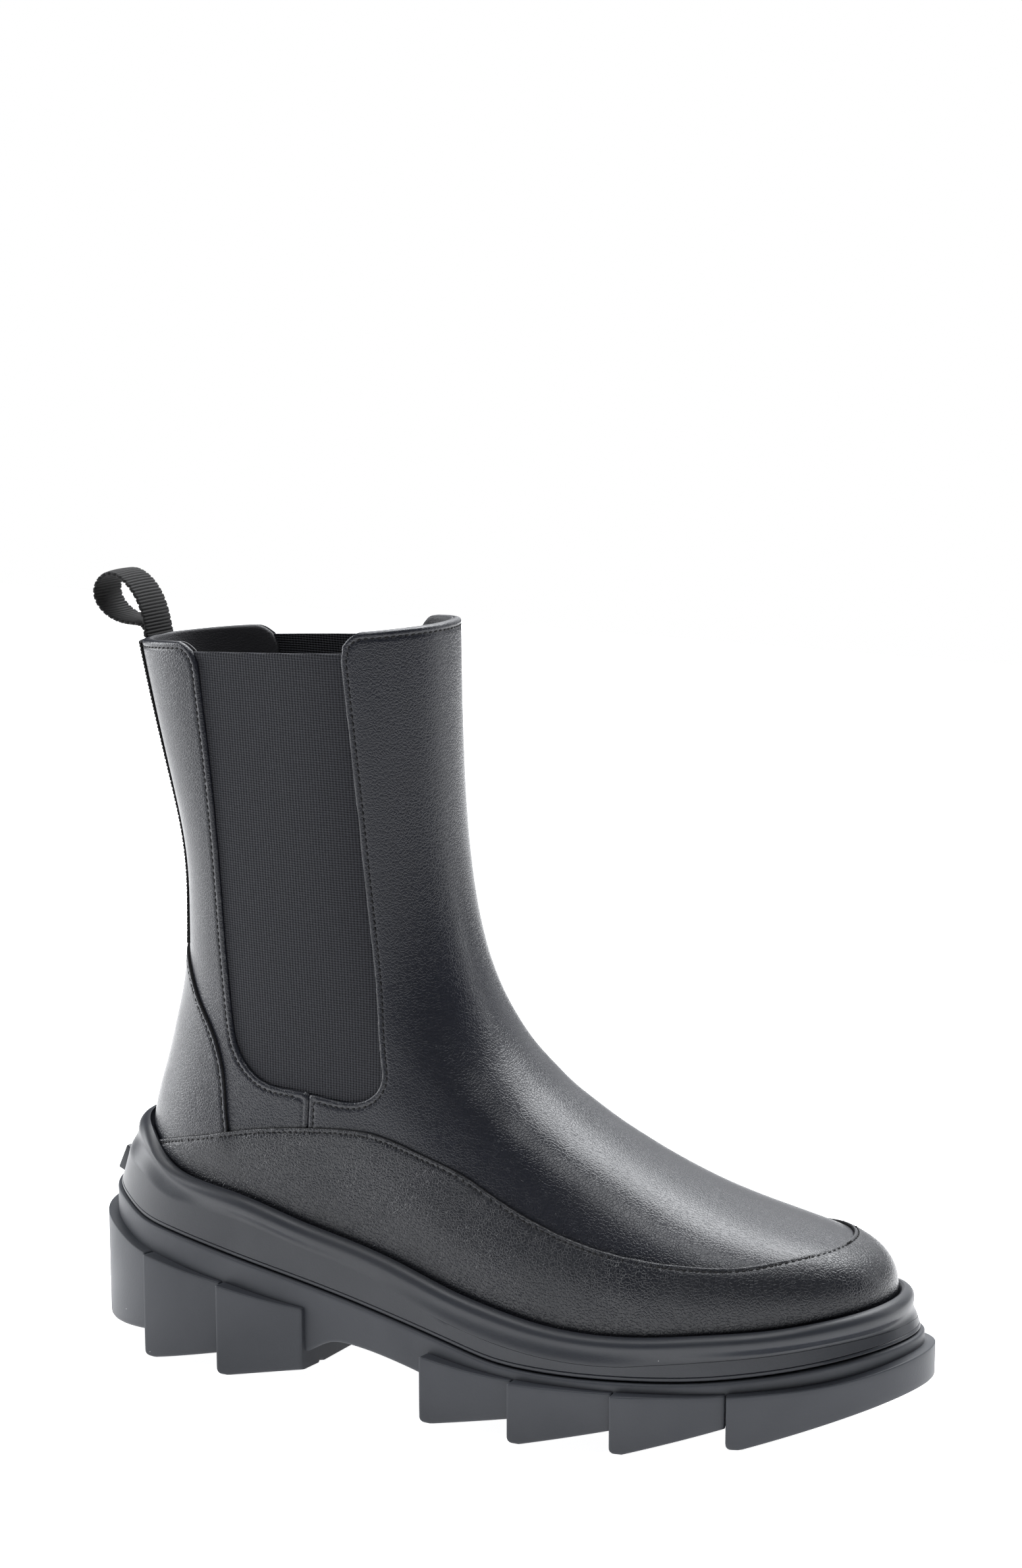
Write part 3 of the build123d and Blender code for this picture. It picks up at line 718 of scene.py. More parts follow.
def elastic_material():
    """Elastic weave: rubber cores run up and down, the crossing yarn gives fine rows; its colour holds
    painted shade in the furrows.
    """
    mat, tree, shader = finish_material("charcoal_elastic", 0.82, 0.16)
    where = object_place(tree)
    axes = node(tree, "ShaderNodeSeparateXYZ", {0: where})
    wobble = noise(tree, where, 60.0, 2.0)
    lean = math_node(tree, "MULTIPLY_ADD", axes.outputs["Z"], 0.07, axes.outputs["X"])
    across = math_node(tree, "MULTIPLY_ADD", wobble, 0.4 * MM, lean)
    along = math_node(tree, "MULTIPLY_ADD", wobble, 0.6 * MM, axes.outputs["Z"])
    cores = math_node(tree, "SINE", math_node(tree, "MULTIPLY", across, 2 * math.pi / CORE_PITCH))
    rows = math_node(tree, "SINE", math_node(tree, "MULTIPLY", along, 2 * math.pi / ROW_PITCH))
    height = math_node(tree, "MULTIPLY_ADD", rows, 0.55, math_node(tree, "MULTIPLY", cores, 0.45))
    height = math_node(tree, "MULTIPLY_ADD", noise(tree, where, 3200.0, 2.0), 0.9, height)
    add_bump(tree, shader, height, 0.2 * MM)
    # Painted shade: the colour follows the relief and is darkest in the furrows.
    furrow_shade = map_range(tree, height, -1.0, 1.6, kind="LINEAR")
    shade = mix_colours(tree, furrow_shade, ELASTIC_FURROW_SHADE, ELASTIC_YARN)
    tree.links.new(shade, shader.inputs["Base Color"])
    shader.inputs["Sheen Weight"].default_value = 0.05
    shader.inputs["Sheen Roughness"].default_value = 0.5
    return mat


ELASTIC = elastic_material()
for side, word in ((-1, "lateral"), (1, "medial")):
    gusset = cut_from_last(
        "gusset_elastic_" + word, gusset_distance(side), (0.0, 0.4, 1.2, 2.0, 3.0), gusset_outer,
        flat_layer(-2.4), v_span=(0.2, TOP_V), angle_span=(-2.75, -0.5) if side < 0 else (0.5, 2.75),
    )
    gusset.data.materials.append(ELASTIC)
    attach(gusset, "boot")
    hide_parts("gusset_" + word)


# --- Linings --------------------------------------------------------------------------
# Thin matte leather inside the shaft and foot, cut out for the elastic like the outside
# and turned up to the folded topline.
def lining_distance(front):
    """Like the leather's edges, but reaching down to the sole edge."""
    def distance(p, v, a):
        x, z = p[:, 0], p[:, 2]
        d = beside_window(p, *((vamp_top_cloud, vamp_top) if front else (quarter_top_cloud, quarter_top)))
        outside = d < 0
        d = np.abs(d)
        seam = (x - SIDE_SEAM_X) * (1 if front else -1)
        limit = (x < -46) if front else (x > -80)
        outside |= limit & (z > 110) | (seam < 0) & (z < 120)
        d = np.where(z < 100, np.minimum(d, np.abs(seam)), d)
        return np.where(outside, -np.abs(d), d)

    return distance


def lining_inner(p, v, a, d):
    """Rounded edges, and small pleats where the lining turns the front of the topline."""
    near = np.clip(1 - d / 1.0, 0, 1)
    x, z = p[:, 0], p[:, 2]
    pleat = np.exp(-(((z - 222) / 16) ** 2)) * np.sin(p[:, 1] * 0.9) * np.exp(-(((x + 20) / 9) ** 2))
    return -3.6 + 0.7 * (1 - np.sqrt(np.clip(1 - near**2, 0, 1))) + 0.12 * pleat


LINING = leather("lining_leather", (0.022, 0.022, 0.025), (0.032, 0.032, 0.036), 0.5, 0.62, 1100.0, 0.00005)
for front, word in ((True, "vamp_lining"), (False, "quarter_lining")):
    lining = cut_from_last(
        word + "_leather", lining_distance(front), (0.0, 0.3, 0.7, 1.2), flat_layer(-2.46), lining_inner
    )
    lining.data.materials.append(LINING)
    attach(lining, "boot")
    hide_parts(word)


# --- Back strip and pull loop ---------------------------------------------------------
# Polyester webbing with cross ribs and saw-toothed edges: a 25 mm strip is sewn down the
# back seam, and a 15 mm one is folded into a finger loop at the topline.
LOOP_WIDTH, STRIP_WIDTH = 15.0, 25.0
WEBBING_THICKNESS = 1.2
RIB_PITCH = 1.1


def join_rings(bm, rings):
    """Faces between each ring of vertices and the next."""
    for a, b in zip(rings, rings[1:]):
        for j in range(len(a)):
            k = (j + 1) % len(a)
            bm.faces.new([a[j], a[k], b[k], b[j]])


def webbing(name, width, length, place):
    """Closed ribbed strip; place(s, across, up) gives the points at lengths s along it."""
    rows = int(length / RIB_PITCH * 8)
    s = np.linspace(0, length, rows + 1)[:, None]
    rib = np.abs(np.sin(math.pi * s / RIB_PITCH)) ** 0.7
    tooth = np.abs(np.sin(math.pi * s / (2 * RIB_PITCH))) ** 0.8
    turn = np.arange(24) * math.pi / 12
    share, rise = np.cos(turn)[None, :], np.sin(turn)[None, :]
    across = (width / 2 - 0.5 + 0.6 * tooth) * np.sign(share) * np.abs(share) ** 0.8
    up = (WEBBING_THICKNESS / 2 - 0.3 + 0.4 * rib) * np.sign(rise) * np.abs(rise) ** 0.25
    points = place(s + 0 * across, across, up)
    bm = bmesh.new()
    rings = [[bm.verts.new(Vector(p) * MM) for p in ring] for ring in points]
    join_rings(bm, rings)
    bm.faces.new(list(reversed(rings[0])))
    bm.faces.new(rings[-1])
    bmesh.ops.recalc_face_normals(bm, faces=bm.faces)
    return smooth_object(name, bm)


BACK_TOP, BACK_LOW = 230.6, 134.0
BACK_RADIUS = 36.0  # turns a distance across the back seam into an angle, roughly


def back_place(s, across, up):
    """Points s mm down the back seam; the angle is stepped until y is right."""
    z = BACK_TOP - s
    a = np.full(s.shape, math.pi)
    v = find_v(a, lambda p: p[..., 2] - z, 0.2)
    for _ in range(3):
        a = a - (across - last_point(v, a)[..., 1]) / BACK_RADIUS
    return last_point(v, a) + last_normal(v, a) * (0.65 + up)[..., None]


back_strip = webbing("back_strip_webbing", STRIP_WIDTH, BACK_TOP - BACK_LOW, back_place)

LOOP_LINE = [(-128.6, 231.2), (-129.3, 234.3), (-133.6, 235.2), (-140.5, 236.2), (-145.8, 239.3)]
LOOP_LINE += [(-148.3, 244.0), (-146.7, 248.7), (-142.2, 251.2), (-137.0, 249.7), (-132.3, 245.2)]
LOOP_LINE += [(-129.6, 240.1), (-128.3, 235.6), (-127.4, 231.2)]
loop_line = smooth_line(LOOP_LINE, 0.15)
loop_step = np.linalg.norm(np.diff(loop_line, axis=0), axis=1)
loop_length = np.concatenate([[0], np.cumsum(loop_step)])


def loop_place(s, across, up):
    """Points s mm along the loop's middle line, slightly cupped across the webbing."""
    along = lambda at: np.stack([np.interp(at, loop_length, loop_line[:, k]) for k in (0, 1)], axis=-1)
    run = along(s + 0.3) - along(s - 0.3)
    run /= np.linalg.norm(run, axis=-1, keepdims=True)
    move = up - 0.25 * (across / 7.5) ** 2
    x, z = np.moveaxis(along(s), -1, 0)
    return np.stack([x - run[..., 1] * move, across, z + run[..., 0] * move], axis=-1)


pull_loop = webbing("pull_loop_webbing", LOOP_WIDTH, loop_length[-1], loop_place)


def yarn_material(name, dark, light, rough):
    """Spun yarn: a fine fuzz drawn out along X and Z, in colour and in relief."""
    mat, tree, shader = finish_material(name, rough, 0.2)
    stretch = node(tree, "ShaderNodeMapping", {"Vector": object_place(tree), "Scale": (1.0, 3.2, 1.0)})
    fuzz = noise(tree, stretch.outputs[0], 2400.0, 3.0)
    tree.links.new(mix_colours(tree, fuzz, dark, light), shader.inputs["Base Color"])
    add_bump(tree, shader, fuzz, 0.12 * MM)
    return mat


WEBBING_YARN = yarn_material("black_webbing", (0.005, 0.005, 0.0055), (0.022, 0.0215, 0.0215), 0.7)
for piece, cad, body in ((back_strip, "back_strip", "boot"), (pull_loop, "pull_loop", "loop")):
    piece.data.materials.append(WEBBING_YARN)
    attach(piece, body)
    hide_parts(cad)


# --- Midsole --------------------------------------------------------------------------
# Moulded rubber wall round the foot, leaning in towards the top, with a rolled edge
# pressed against the leather; five plain ribs stand on its back.
OUTER_SIDE = [(-145, 0), (-136, -24), (-112, -39), (-80, -43), (-35, -45), (5, -49.5)]
OUTER_SIDE += [(40, -51.5), (75, -48.5), (108, -38), (132, -20), (142.5, -4), (145, 8)]
INNER_SIDE = [(-145, 0), (-136, 22), (-112, 36.5), (-75, 39.5), (-35, 38), (0, 40)]
INNER_SIDE += [(35, 47), (70, 51.3), (104, 47), (128, 37), (141, 23), (145, 8)]
BEAD_TOP = [(-150, 74), (-128, 73), (-120, 70), (-108, 63.6), (-92.8, 60.7), (-75.7, 59)]
BEAD_TOP += [(-51.3, 53.9), (-34, 50.8), (-14, 46.5), (6.4, 41.2), (18.8, 38.9), (37, 36.4)]
BEAD_TOP += [(54, 35.9), (71, 37.2), (92, 40.3), (111, 43.1), (127, 46), (150, 50)]
BEAD_LOW = [(-150, 67), (-128, 66.5), (-116, 64), (-105, 58), (-92, 54.5), (-74, 52)]
BEAD_LOW += [(-50, 47), (-33, 44), (-14, 39.5), (6.4, 34.5), (19, 32.2), (37, 30.3), (54, 30)]
BEAD_LOW += [(71, 31), (92, 34), (111, 36.6), (127, 39), (150, 42.5)]
GROOVE = [(-150, 51), (-128, 48), (-118, 45), (-105, 43), (-88, 40.5), (-73, 38), (-53, 35)]
GROOVE += [(-33, 32), (-11, 28.6), (10, 25), (23, 22.8), (35, 22.2), (52, 22.6), (69, 23.7)]
GROOVE += [(90, 25.6), (108, 28), (125, 30.8), (136, 33), (150, 36)]
bead_top, bead_low, groove = height_line(BEAD_TOP), height_line(BEAD_LOW), height_line(GROOVE)
SOLE_COLUMNS = 520
BEAD_STAND = 5.0  # how far the bead stands off the leather
WALL_INSET = 4.0  # how far the wall's foot stands inside the blocks' faces

plan = smooth_line(OUTER_SIDE + INNER_SIDE[-2:0:-1], 0.2, closed=True)
plan_angle = np.linspace(-math.pi, math.pi, SOLE_COLUMNS, endpoint=False)


def side_edge(side):
    """Half of the plan outline, as y at the heel-to-toe angles 0 (toe) to pi (heel)."""
    heel, toe = int(np.argmin(plan[:, 0])), int(np.argmax(plan[:, 0]))
    order = np.roll(plan, -heel, axis=0)
    toe = (toe - heel) % len(plan)
    half = order[: toe + 1] if side < 0 else np.concatenate([order[toe:], order[:1]])[::-1]
    x0, x1 = half[0, 0], half[-1, 0]
    share = np.clip((half[:, 0] - x0) / (x1 - x0), 0, 1)
    angle = np.arccos(2 * np.maximum.accumulate(share) - 1)
    return lambda a: np.interp(a, angle[::-1], half[::-1, 1]), x0, x1


left_edge, HEEL_X, TOE_X = side_edge(-1)
right_edge = side_edge(1)[0]


def plan_point(angle):
    """Outline point and outward direction at a heel-to-toe angle, negative on the outer side."""

    def at(a):
        a = (a + math.pi) % (2 * math.pi) - math.pi
        x = HEEL_X + (TOE_X - HEEL_X) * (1 + np.cos(a)) / 2
        y = np.where(a < 0, left_edge(np.abs(a)), right_edge(np.abs(a)))
        return np.stack([x, y], axis=-1)

    angle = np.asarray(angle, float)
    run = at(angle + 0.03) - at(angle - 0.03)
    run /= np.linalg.norm(run, axis=-1, keepdims=True)
    return at(angle), np.stack([run[..., 1], -run[..., 0]], axis=-1)


plan_xy, plan_out = plan_point(plan_angle)


def last_angles():
    """The last's angle that faces each outline column, evened out along the outline."""
    a = np.linspace(-math.pi, math.pi, 3000, endpoint=False)
    p = last_point(find_v(a, lambda q: q[..., 2] - bead_top(q[..., 0]), 0.0, 0.5), a)
    n = last_normal(np.full_like(a, 0.08), a)
    rim = p[:, :2] + BEAD_STAND * n[:, :2]
    found = np.array([a[np.argmin(((rim - q) ** 2).sum(axis=1))] for q in plan_xy])
    wrapped = np.exp(1j * found)
    for _ in range(30):
        wrapped = (np.roll(wrapped, 1) + 2 * wrapped + np.roll(wrapped, -1)) / 4
        wrapped /= np.abs(wrapped)
    return np.angle(wrapped)


rim_angle = last_angles()


def on_rim(z, offset):
    """Points standing off the last at each column's height z."""
    v = find_v(rim_angle, lambda p: p[..., 2] - z, 0.0, 0.5)
    p = last_point(v, rim_angle)
    n = last_normal(v, rim_angle)
    flat = n * np.array([1, 1, 0.25])
    flat /= np.linalg.norm(flat, axis=1, keepdims=True)
    return p + flat * np.broadcast_to(offset, len(p))[:, None]


def on_wall(z, inset):
    """Points on the sole's side at each column's height z, inset mm inside the lug faces."""
    xy = plan_xy - np.broadcast_to(inset, len(plan_xy))[:, None] * plan_out
    return np.column_stack([xy, z])


def add_heel_ribs(bm):
    """Five upright ribs with rounded edges on the wall's back."""
    for i in range(5):
        y = 5.2 * (i - 2)
        rib = bmesh.ops.create_cube(bm, size=1.0)["verts"]
        edges = list({e for vert in rib for e in vert.link_edges})
        bmesh.ops.scale(bm, vec=Vector((5.0, 2.6, 9.0)) * MM, verts=rib)
        made = bmesh.ops.bevel(bm, geom=edges, offset=0.5 * MM, segments=3, profile=0.5, affect="EDGES")
        rib = list({vert for face in made["faces"] for vert in face.verts})
        turn = Matrix.Rotation(math.radians(24), 4, "Y")
        shift = Matrix.Translation(Vector((-138.4 + 0.012 * y * y, y, 55.8)) * MM)
        bmesh.ops.transform(bm, matrix=shift @ turn, verts=rib)


def build_midsole():
    """Closed rows: inside the bead's upper edge, over the bead, down the wall and under."""
    rim_x = on_rim(bead_low(plan_xy[:, 0]), BEAD_STAND)[:, 0]
    top, low, foot = bead_top(rim_x), bead_low(rim_x), groove(plan_xy[:, 0])
    heel = np.clip((-128 - plan_xy[:, 0]) / 12, 0, 1)
    heel = heel * heel * (3 - 2 * heel)
    rows = [on_rim(top - 4.5, 1.2), on_rim(top - 2.2, 1.2 + 1.3 * heel)]
    rows += [on_rim(top - 1.0, 1.45 + 1.4 * heel), on_rim(top - 0.35, 1.9 + 1.2 * heel)]
    for deg in (90, 75, 60, 45, 30, 15, 0, -12):
        phi = math.radians(deg)
        depth = 3.5 if deg > 0 else 1.6
        off = OVERLAY + BEAD_STAND - depth * (1 - math.cos(phi))
        rows.append(on_rim(low + (top - low) / 2 * (1 + math.sin(phi)), off))
    lean = 0.07 + 0.38 * np.abs(plan_out[:, 0]) ** 3
    front = np.clip(plan_xy[:, 0] / 25, 0, 1)

    def wall_row(z, extra=0.0):
        return on_wall(z, WALL_INSET + lean * (z - foot) + extra)

    bead_end = rows[-1]
    ledge = wall_row(low) - bead_end
    low = low - 1.2 - 1.3 * np.clip((ledge[:, :2] * plan_out).sum(axis=1), 0, 3)
    for share in (0.1, 0.22, 0.36, 0.52, 0.68, 0.84):
        z = bead_end[:, 2] + (low - bead_end[:, 2]) * share
        ease = share * share * (3 - 2 * share)
        rows.append(bead_end * (1 - ease) + wall_row(z) * ease)
        rows[-1][:, 2] = z
    crease = 0.14 * front
    for down, extra in ((0, 0), (0.25, 0), (0.32, crease), (0.44, crease), (0.51, 0)):
        rows.append(wall_row(low - down, extra))
    for share in (0.85, 0.6, 0.3):
        rows.append(wall_row(foot + 2.2 + (low - 3.0 - foot) * share))
    foot_line = [(2.0, 0), (1.9, 0.05), (1.75, 0.3), (1.6, 0.05), (1.5, 0), (0.9, 0)]
    foot_line += [(0.6, 0.15), (0.45, 0.6), (0.4, 2.2), (0.4, 9.0)]
    rows += [wall_row(foot + up, extra) for up, extra in foot_line]
    v0 = np.full(len(rim_angle), 0.004)
    bottom = last_point(v0, rim_angle)
    bottom[:, 2] -= 1.2
    rows.append(bottom)
    rows.append(last_point(v0, rim_angle) + last_normal(v0, rim_angle) * 1.2)
    bm = bmesh.new()
    grid = [[bm.verts.new(Vector(p) * MM) for p in row] for row in rows]
    count = len(grid)
    for i in range(count):
        a, b = grid[i], grid[(i + 1) % count]
        for j in range(SOLE_COLUMNS):
            k = (j + 1) % SOLE_COLUMNS
            bm.faces.new([a[j], b[j], b[k], a[k]])
    bmesh.ops.recalc_face_normals(bm, faces=bm.faces)
    for edge in bm.edges:
        edge.smooth = edge.calc_face_angle(0.0) < math.radians(24)
    add_heel_ribs(bm)
    return smooth_object("midsole_rubber", bm)


def build_rubber():
    """Moulded rubber skin: fine matte texture, faint flow marks and specks of dust."""
    tree, put, out = group_tree("moulded_skin", {"Texture": 1500.0, "Dust": 1.0}, ("Height", "Flow", "Dust"))
    where = object_place(tree)
    specks = node(tree, "ShaderNodeTexVoronoi", {"Vector": where, "Scale": 210.0})
    small = math_node(tree, "LESS_THAN", specks.outputs["Distance"], 0.028)
    chance = node(tree, "ShaderNodeTexWhiteNoise", {"Vector": specks.outputs["Position"]})
    few = math_node(tree, "LESS_THAN", chance.outputs["Value"], 0.16)
    dust = math_node(tree, "MULTIPLY", math_node(tree, "MULTIPLY", small, few), put.outputs["Dust"])
    tree.links.new(noise(tree, where, put.outputs["Texture"], 3.0), out.inputs["Height"])
    tree.links.new(noise(tree, where, 22.0, 4.0, 0.6), out.inputs["Flow"])
    tree.links.new(dust, out.inputs["Dust"])
    return tree


SKIN = build_rubber()


DUST_GREY = (0.55, 0.55, 0.56)


def rubber(name, dark, light, rough_low, rough_high, texture=1500.0, depth=0.00003, dust=1.0):
    """Matte rubber: flow marks in colour and gloss, and a few grey specks."""
    mat, tree, shader = finish_material(name, rough_low, 0.4)
    skin = use_group(tree, SKIN, {"Texture": texture, "Dust": dust})
    shade = mix_colours(tree, skin.outputs["Flow"], dark, light)
    tree.links.new(mix_colours(tree, skin.outputs["Dust"], shade, DUST_GREY), shader.inputs["Base Color"])
    rough = map_range(tree, skin.outputs["Flow"], 0.3, 0.7, rough_high, rough_low)
    tree.links.new(rough, shader.inputs["Roughness"])
    add_bump(tree, shader, skin.outputs["Height"], depth)
    return mat


MIDSOLE_RUBBER = rubber("midsole_black", (0.016, 0.0175, 0.022), (0.022, 0.0245, 0.031), 0.38, 0.46, dust=0.6)
midsole = build_midsole()
midsole.data.materials.append(MIDSOLE_RUBBER)
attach(midsole, "boot")
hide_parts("midsole")


# --- Outsole --------------------------------------------------------------------------
# One rubber moulding: a band under the midsole and seven blocks whose undersides slope
# like saw teeth.  The two end blocks wrap round heel and toe.
LUG_TOP_HEEL = [(-150, 42), (-140, 41.5), (-128, 39), (-115, 35.3), (-108, 34.2), (-93, 31.7)]
LUG_TOP_HEEL += [(-79, 29.8), (-64, 27.8), (-44, 26.5)]
LUG_TOP_TOE = [(-4, 22), (18, 19.7), (33, 19.2), (50, 19.8), (66, 20.6), (84, 21.9), (100, 23.2)]
LUG_TOP_TOE += [(110, 24.4), (127, 26.6), (138, 29), (150, 33)]
SLAB_LOW = [(-150, 12), (-128, 9.8), (-60, 9.5), (-54, 9.7), (-49, 11.5), (-44, 14.5)]
SLAB_LOW += [(-38, 17), (-30, 17.4), (-20, 16.5), (-10, 15), (-2, 13.4), (8, 10.6), (40, 10.5)]
SLAB_LOW += [(72, 11.5), (100, 15), (119, 18), (134, 21.5), (150, 27)]
LUGS = [(-150, -111.3, 3.2, 8.3), (-111, -80.8, 0, 6.5), (-80.5, -48.6, 0, 6.5)]
LUGS += [(-0.3, 32.2, 0, 6.9), (32.5, 66.7, 0, 8.9), (67, 101.3, 2.3, 13), (101.6, 150, 6.7, 22.5)]
LAND = 4.0  # flat strip at a block's rear end, before its underside slopes
LUG_STEP = 1.5  # how much further a block's rear end stands out than the middle
WRAP = 140.0  # blocks that reach past this x wrap round the heel or the toe
BAND_STATIONS = 260
BAND_INSET = -3.0  # the band's side, inside the blocks' faces
lug_top_heel, lug_top_toe = height_line(LUG_TOP_HEEL), height_line(LUG_TOP_TOE)
slab_low = height_line(SLAB_LOW)


def angle_at(x):
    """Heel-to-toe angle at which the outline reaches x."""
    return math.acos(min(1.0, max(-1.0, 2 * (x - HEEL_X) / (TOE_X - HEEL_X) - 1)))


def across_sole(bm, stations):
    """Closed body through stations; each is (angle, section), section a list of
    (distance outside the outline or None for the middle line, z) from top to bottom."""
    rings = []
    for angle, section in stations:
        ring = []
        for side in (-1, 1):
            xy, out = plan_point(side * angle)
            points = [Vector((*(xy + out * d), z)) if d is not None else None for d, z in section]
            middle = Vector((min(122.0, max(-122.0, float(xy[0]))), 0.0, 0.0))
            points = [p if p else Vector((middle.x, 0.0, section[i][1])) for i, p in enumerate(points)]
            ring += points if side < 0 else points[::-1]
        rings.append([bm.verts.new(p * MM) for p in ring])
    join_rings(bm, rings)
    return rings


def corner(d, z, radius, quarter, steps=4):
    """Rounded corner of a section; quarter is 0 for the top edge, 1 for the bottom."""
    pts = []
    for i in range(steps + 1):
        phi = math.pi / 2 * (1 - i / steps) if quarter == 0 else -math.pi / 2 * i / steps
        sign = 1 if quarter == 0 else -1
        pts.append((d - radius + radius * math.cos(phi), z + radius * (math.sin(phi) - sign)))
    return pts


def band_stations():
    """The band under the midsole, from heel to toe."""
    stations = []
    for i in range(BAND_STATIONS + 1):
        angle = math.pi * i / BAND_STATIONS
        x = float(plan_point(angle)[0][0])
        g, low = float(groove(x)), float(slab_low(x))
        section = [(None, g), (-10, g), (-5.0, g - 0.05), (-3.5, g - 0.1), (-3.2, g - 0.3)]
        section += [(BAND_INSET, z) for z in (g - 0.7, g - 1.5, g - 3.0, (g + low) / 2, low + 1.6)]
        section += [(-3.15, low + 0.8), (-3.8, low + 0.2), (-4.8, low), (-12, low), (None, low)]
        stations.append((angle, section))
    return stations


def block_grid(lo, hi, at_heel, at_toe):
    """The x of a block's stations, closer together at its free ends."""
    if at_heel:
        grid = [float(plan_point(a)[0][0]) for a in np.linspace(math.pi, angle_at(hi), 60)]
    elif at_toe:
        grid = [float(plan_point(a)[0][0]) for a in np.linspace(angle_at(lo), 0, 70)]
    else:
        grid = [lo + (hi - lo) * i / 26 for i in range(27)]
    rear_end, fore_end = [lo + 0.15, lo + 0.5, lo + 1, lo + 2], [hi - 0.5, hi - 0.15]
    return sorted(set(grid + ([] if at_heel else rear_end) + ([] if at_toe else fore_end)))


def block_section(x, x0, x1, z0, z1, at_heel, at_toe):
    """A block's half section at x: side face, rounded corners and a groove underneath."""
    lo, hi = max(x0, HEEL_X), min(x1, TOE_X)
    move = 0.4
    if not at_heel and not at_toe:
        move = LUG_STEP * (1 - 2 * (x - x0) / (x1 - x0)) / abs(plan_point(-angle_at(x))[1][1])
    rear = 99.0 if at_heel else x - lo
    fore = 99.0 if at_toe else hi - x
    pinch = 0.5 - min(0.5, rear, fore)
    pinch = 0.5 - math.sqrt(max(0.0, 0.25 - pinch * pinch))
    z = z0 if x < x0 + LAND else z0 + (z1 - z0) * (x - x0 - LAND) / (x1 + 1 - x0 - LAND)
    if rear < 1.6:
        z += 1.6 - math.sqrt(1.6**2 - (1.6 - rear) ** 2)
    t = float((lug_top_heel if x1 < 0 else lug_top_toe)(x)) - pinch
    foot = 2.2 if at_heel else 0.9
    section = [(None, t), (-6, t)] + corner(move - pinch, t, 0.45, 0)
    section += [(move - pinch, t - 2), (move - pinch, (t + z) / 2), (move - pinch, z + foot + 1.5)]
    section += corner(move - pinch, z, foot, 1) + [(move - 9, z), (move - 9.8, z + 1.2)]
    return section + [(move - 11.2, z + 1.2), (move - 12, z), (None, z)]


def build_outsole():
    bm = bmesh.new()
    across_sole(bm, band_stations())
    for x0, x1, z0, z1 in LUGS:
        at_heel, at_toe = x0 < -WRAP, x1 > WRAP
        grid = block_grid(max(x0, HEEL_X), min(x1, TOE_X), at_heel, at_toe)
        ends = (x0, x1, z0, z1, at_heel, at_toe)
        rings = across_sole(bm, [(angle_at(x), block_section(x, *ends)) for x in grid])
        if not at_heel:
            bm.faces.new(rings[0][::-1])
        if not at_toe:
            bm.faces.new(rings[-1])
    bmesh.ops.remove_doubles(bm, verts=bm.verts, dist=0.004 * MM)
    bmesh.ops.recalc_face_normals(bm, faces=bm.faces)
    big = [f for f in bm.faces if len(f.verts) > 4]
    bmesh.ops.triangulate(bm, faces=big)
    for edge in bm.edges:
        if len(edge.link_faces) == 2 and edge.calc_face_angle(0.0) > math.radians(40):
            edge.smooth = False
    return smooth_object("outsole_rubber", bm)


OUTSOLE_RUBBER = rubber(
    "outsole_black", (0.022, 0.0245, 0.0305), (0.031, 0.034, 0.042), 0.5, 0.6, 1200.0, 0.00004, 1.0
)
outsole = build_outsole()
outsole.data.materials.append(OUTSOLE_RUBBER)
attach(outsole, "boot")
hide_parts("outsole")


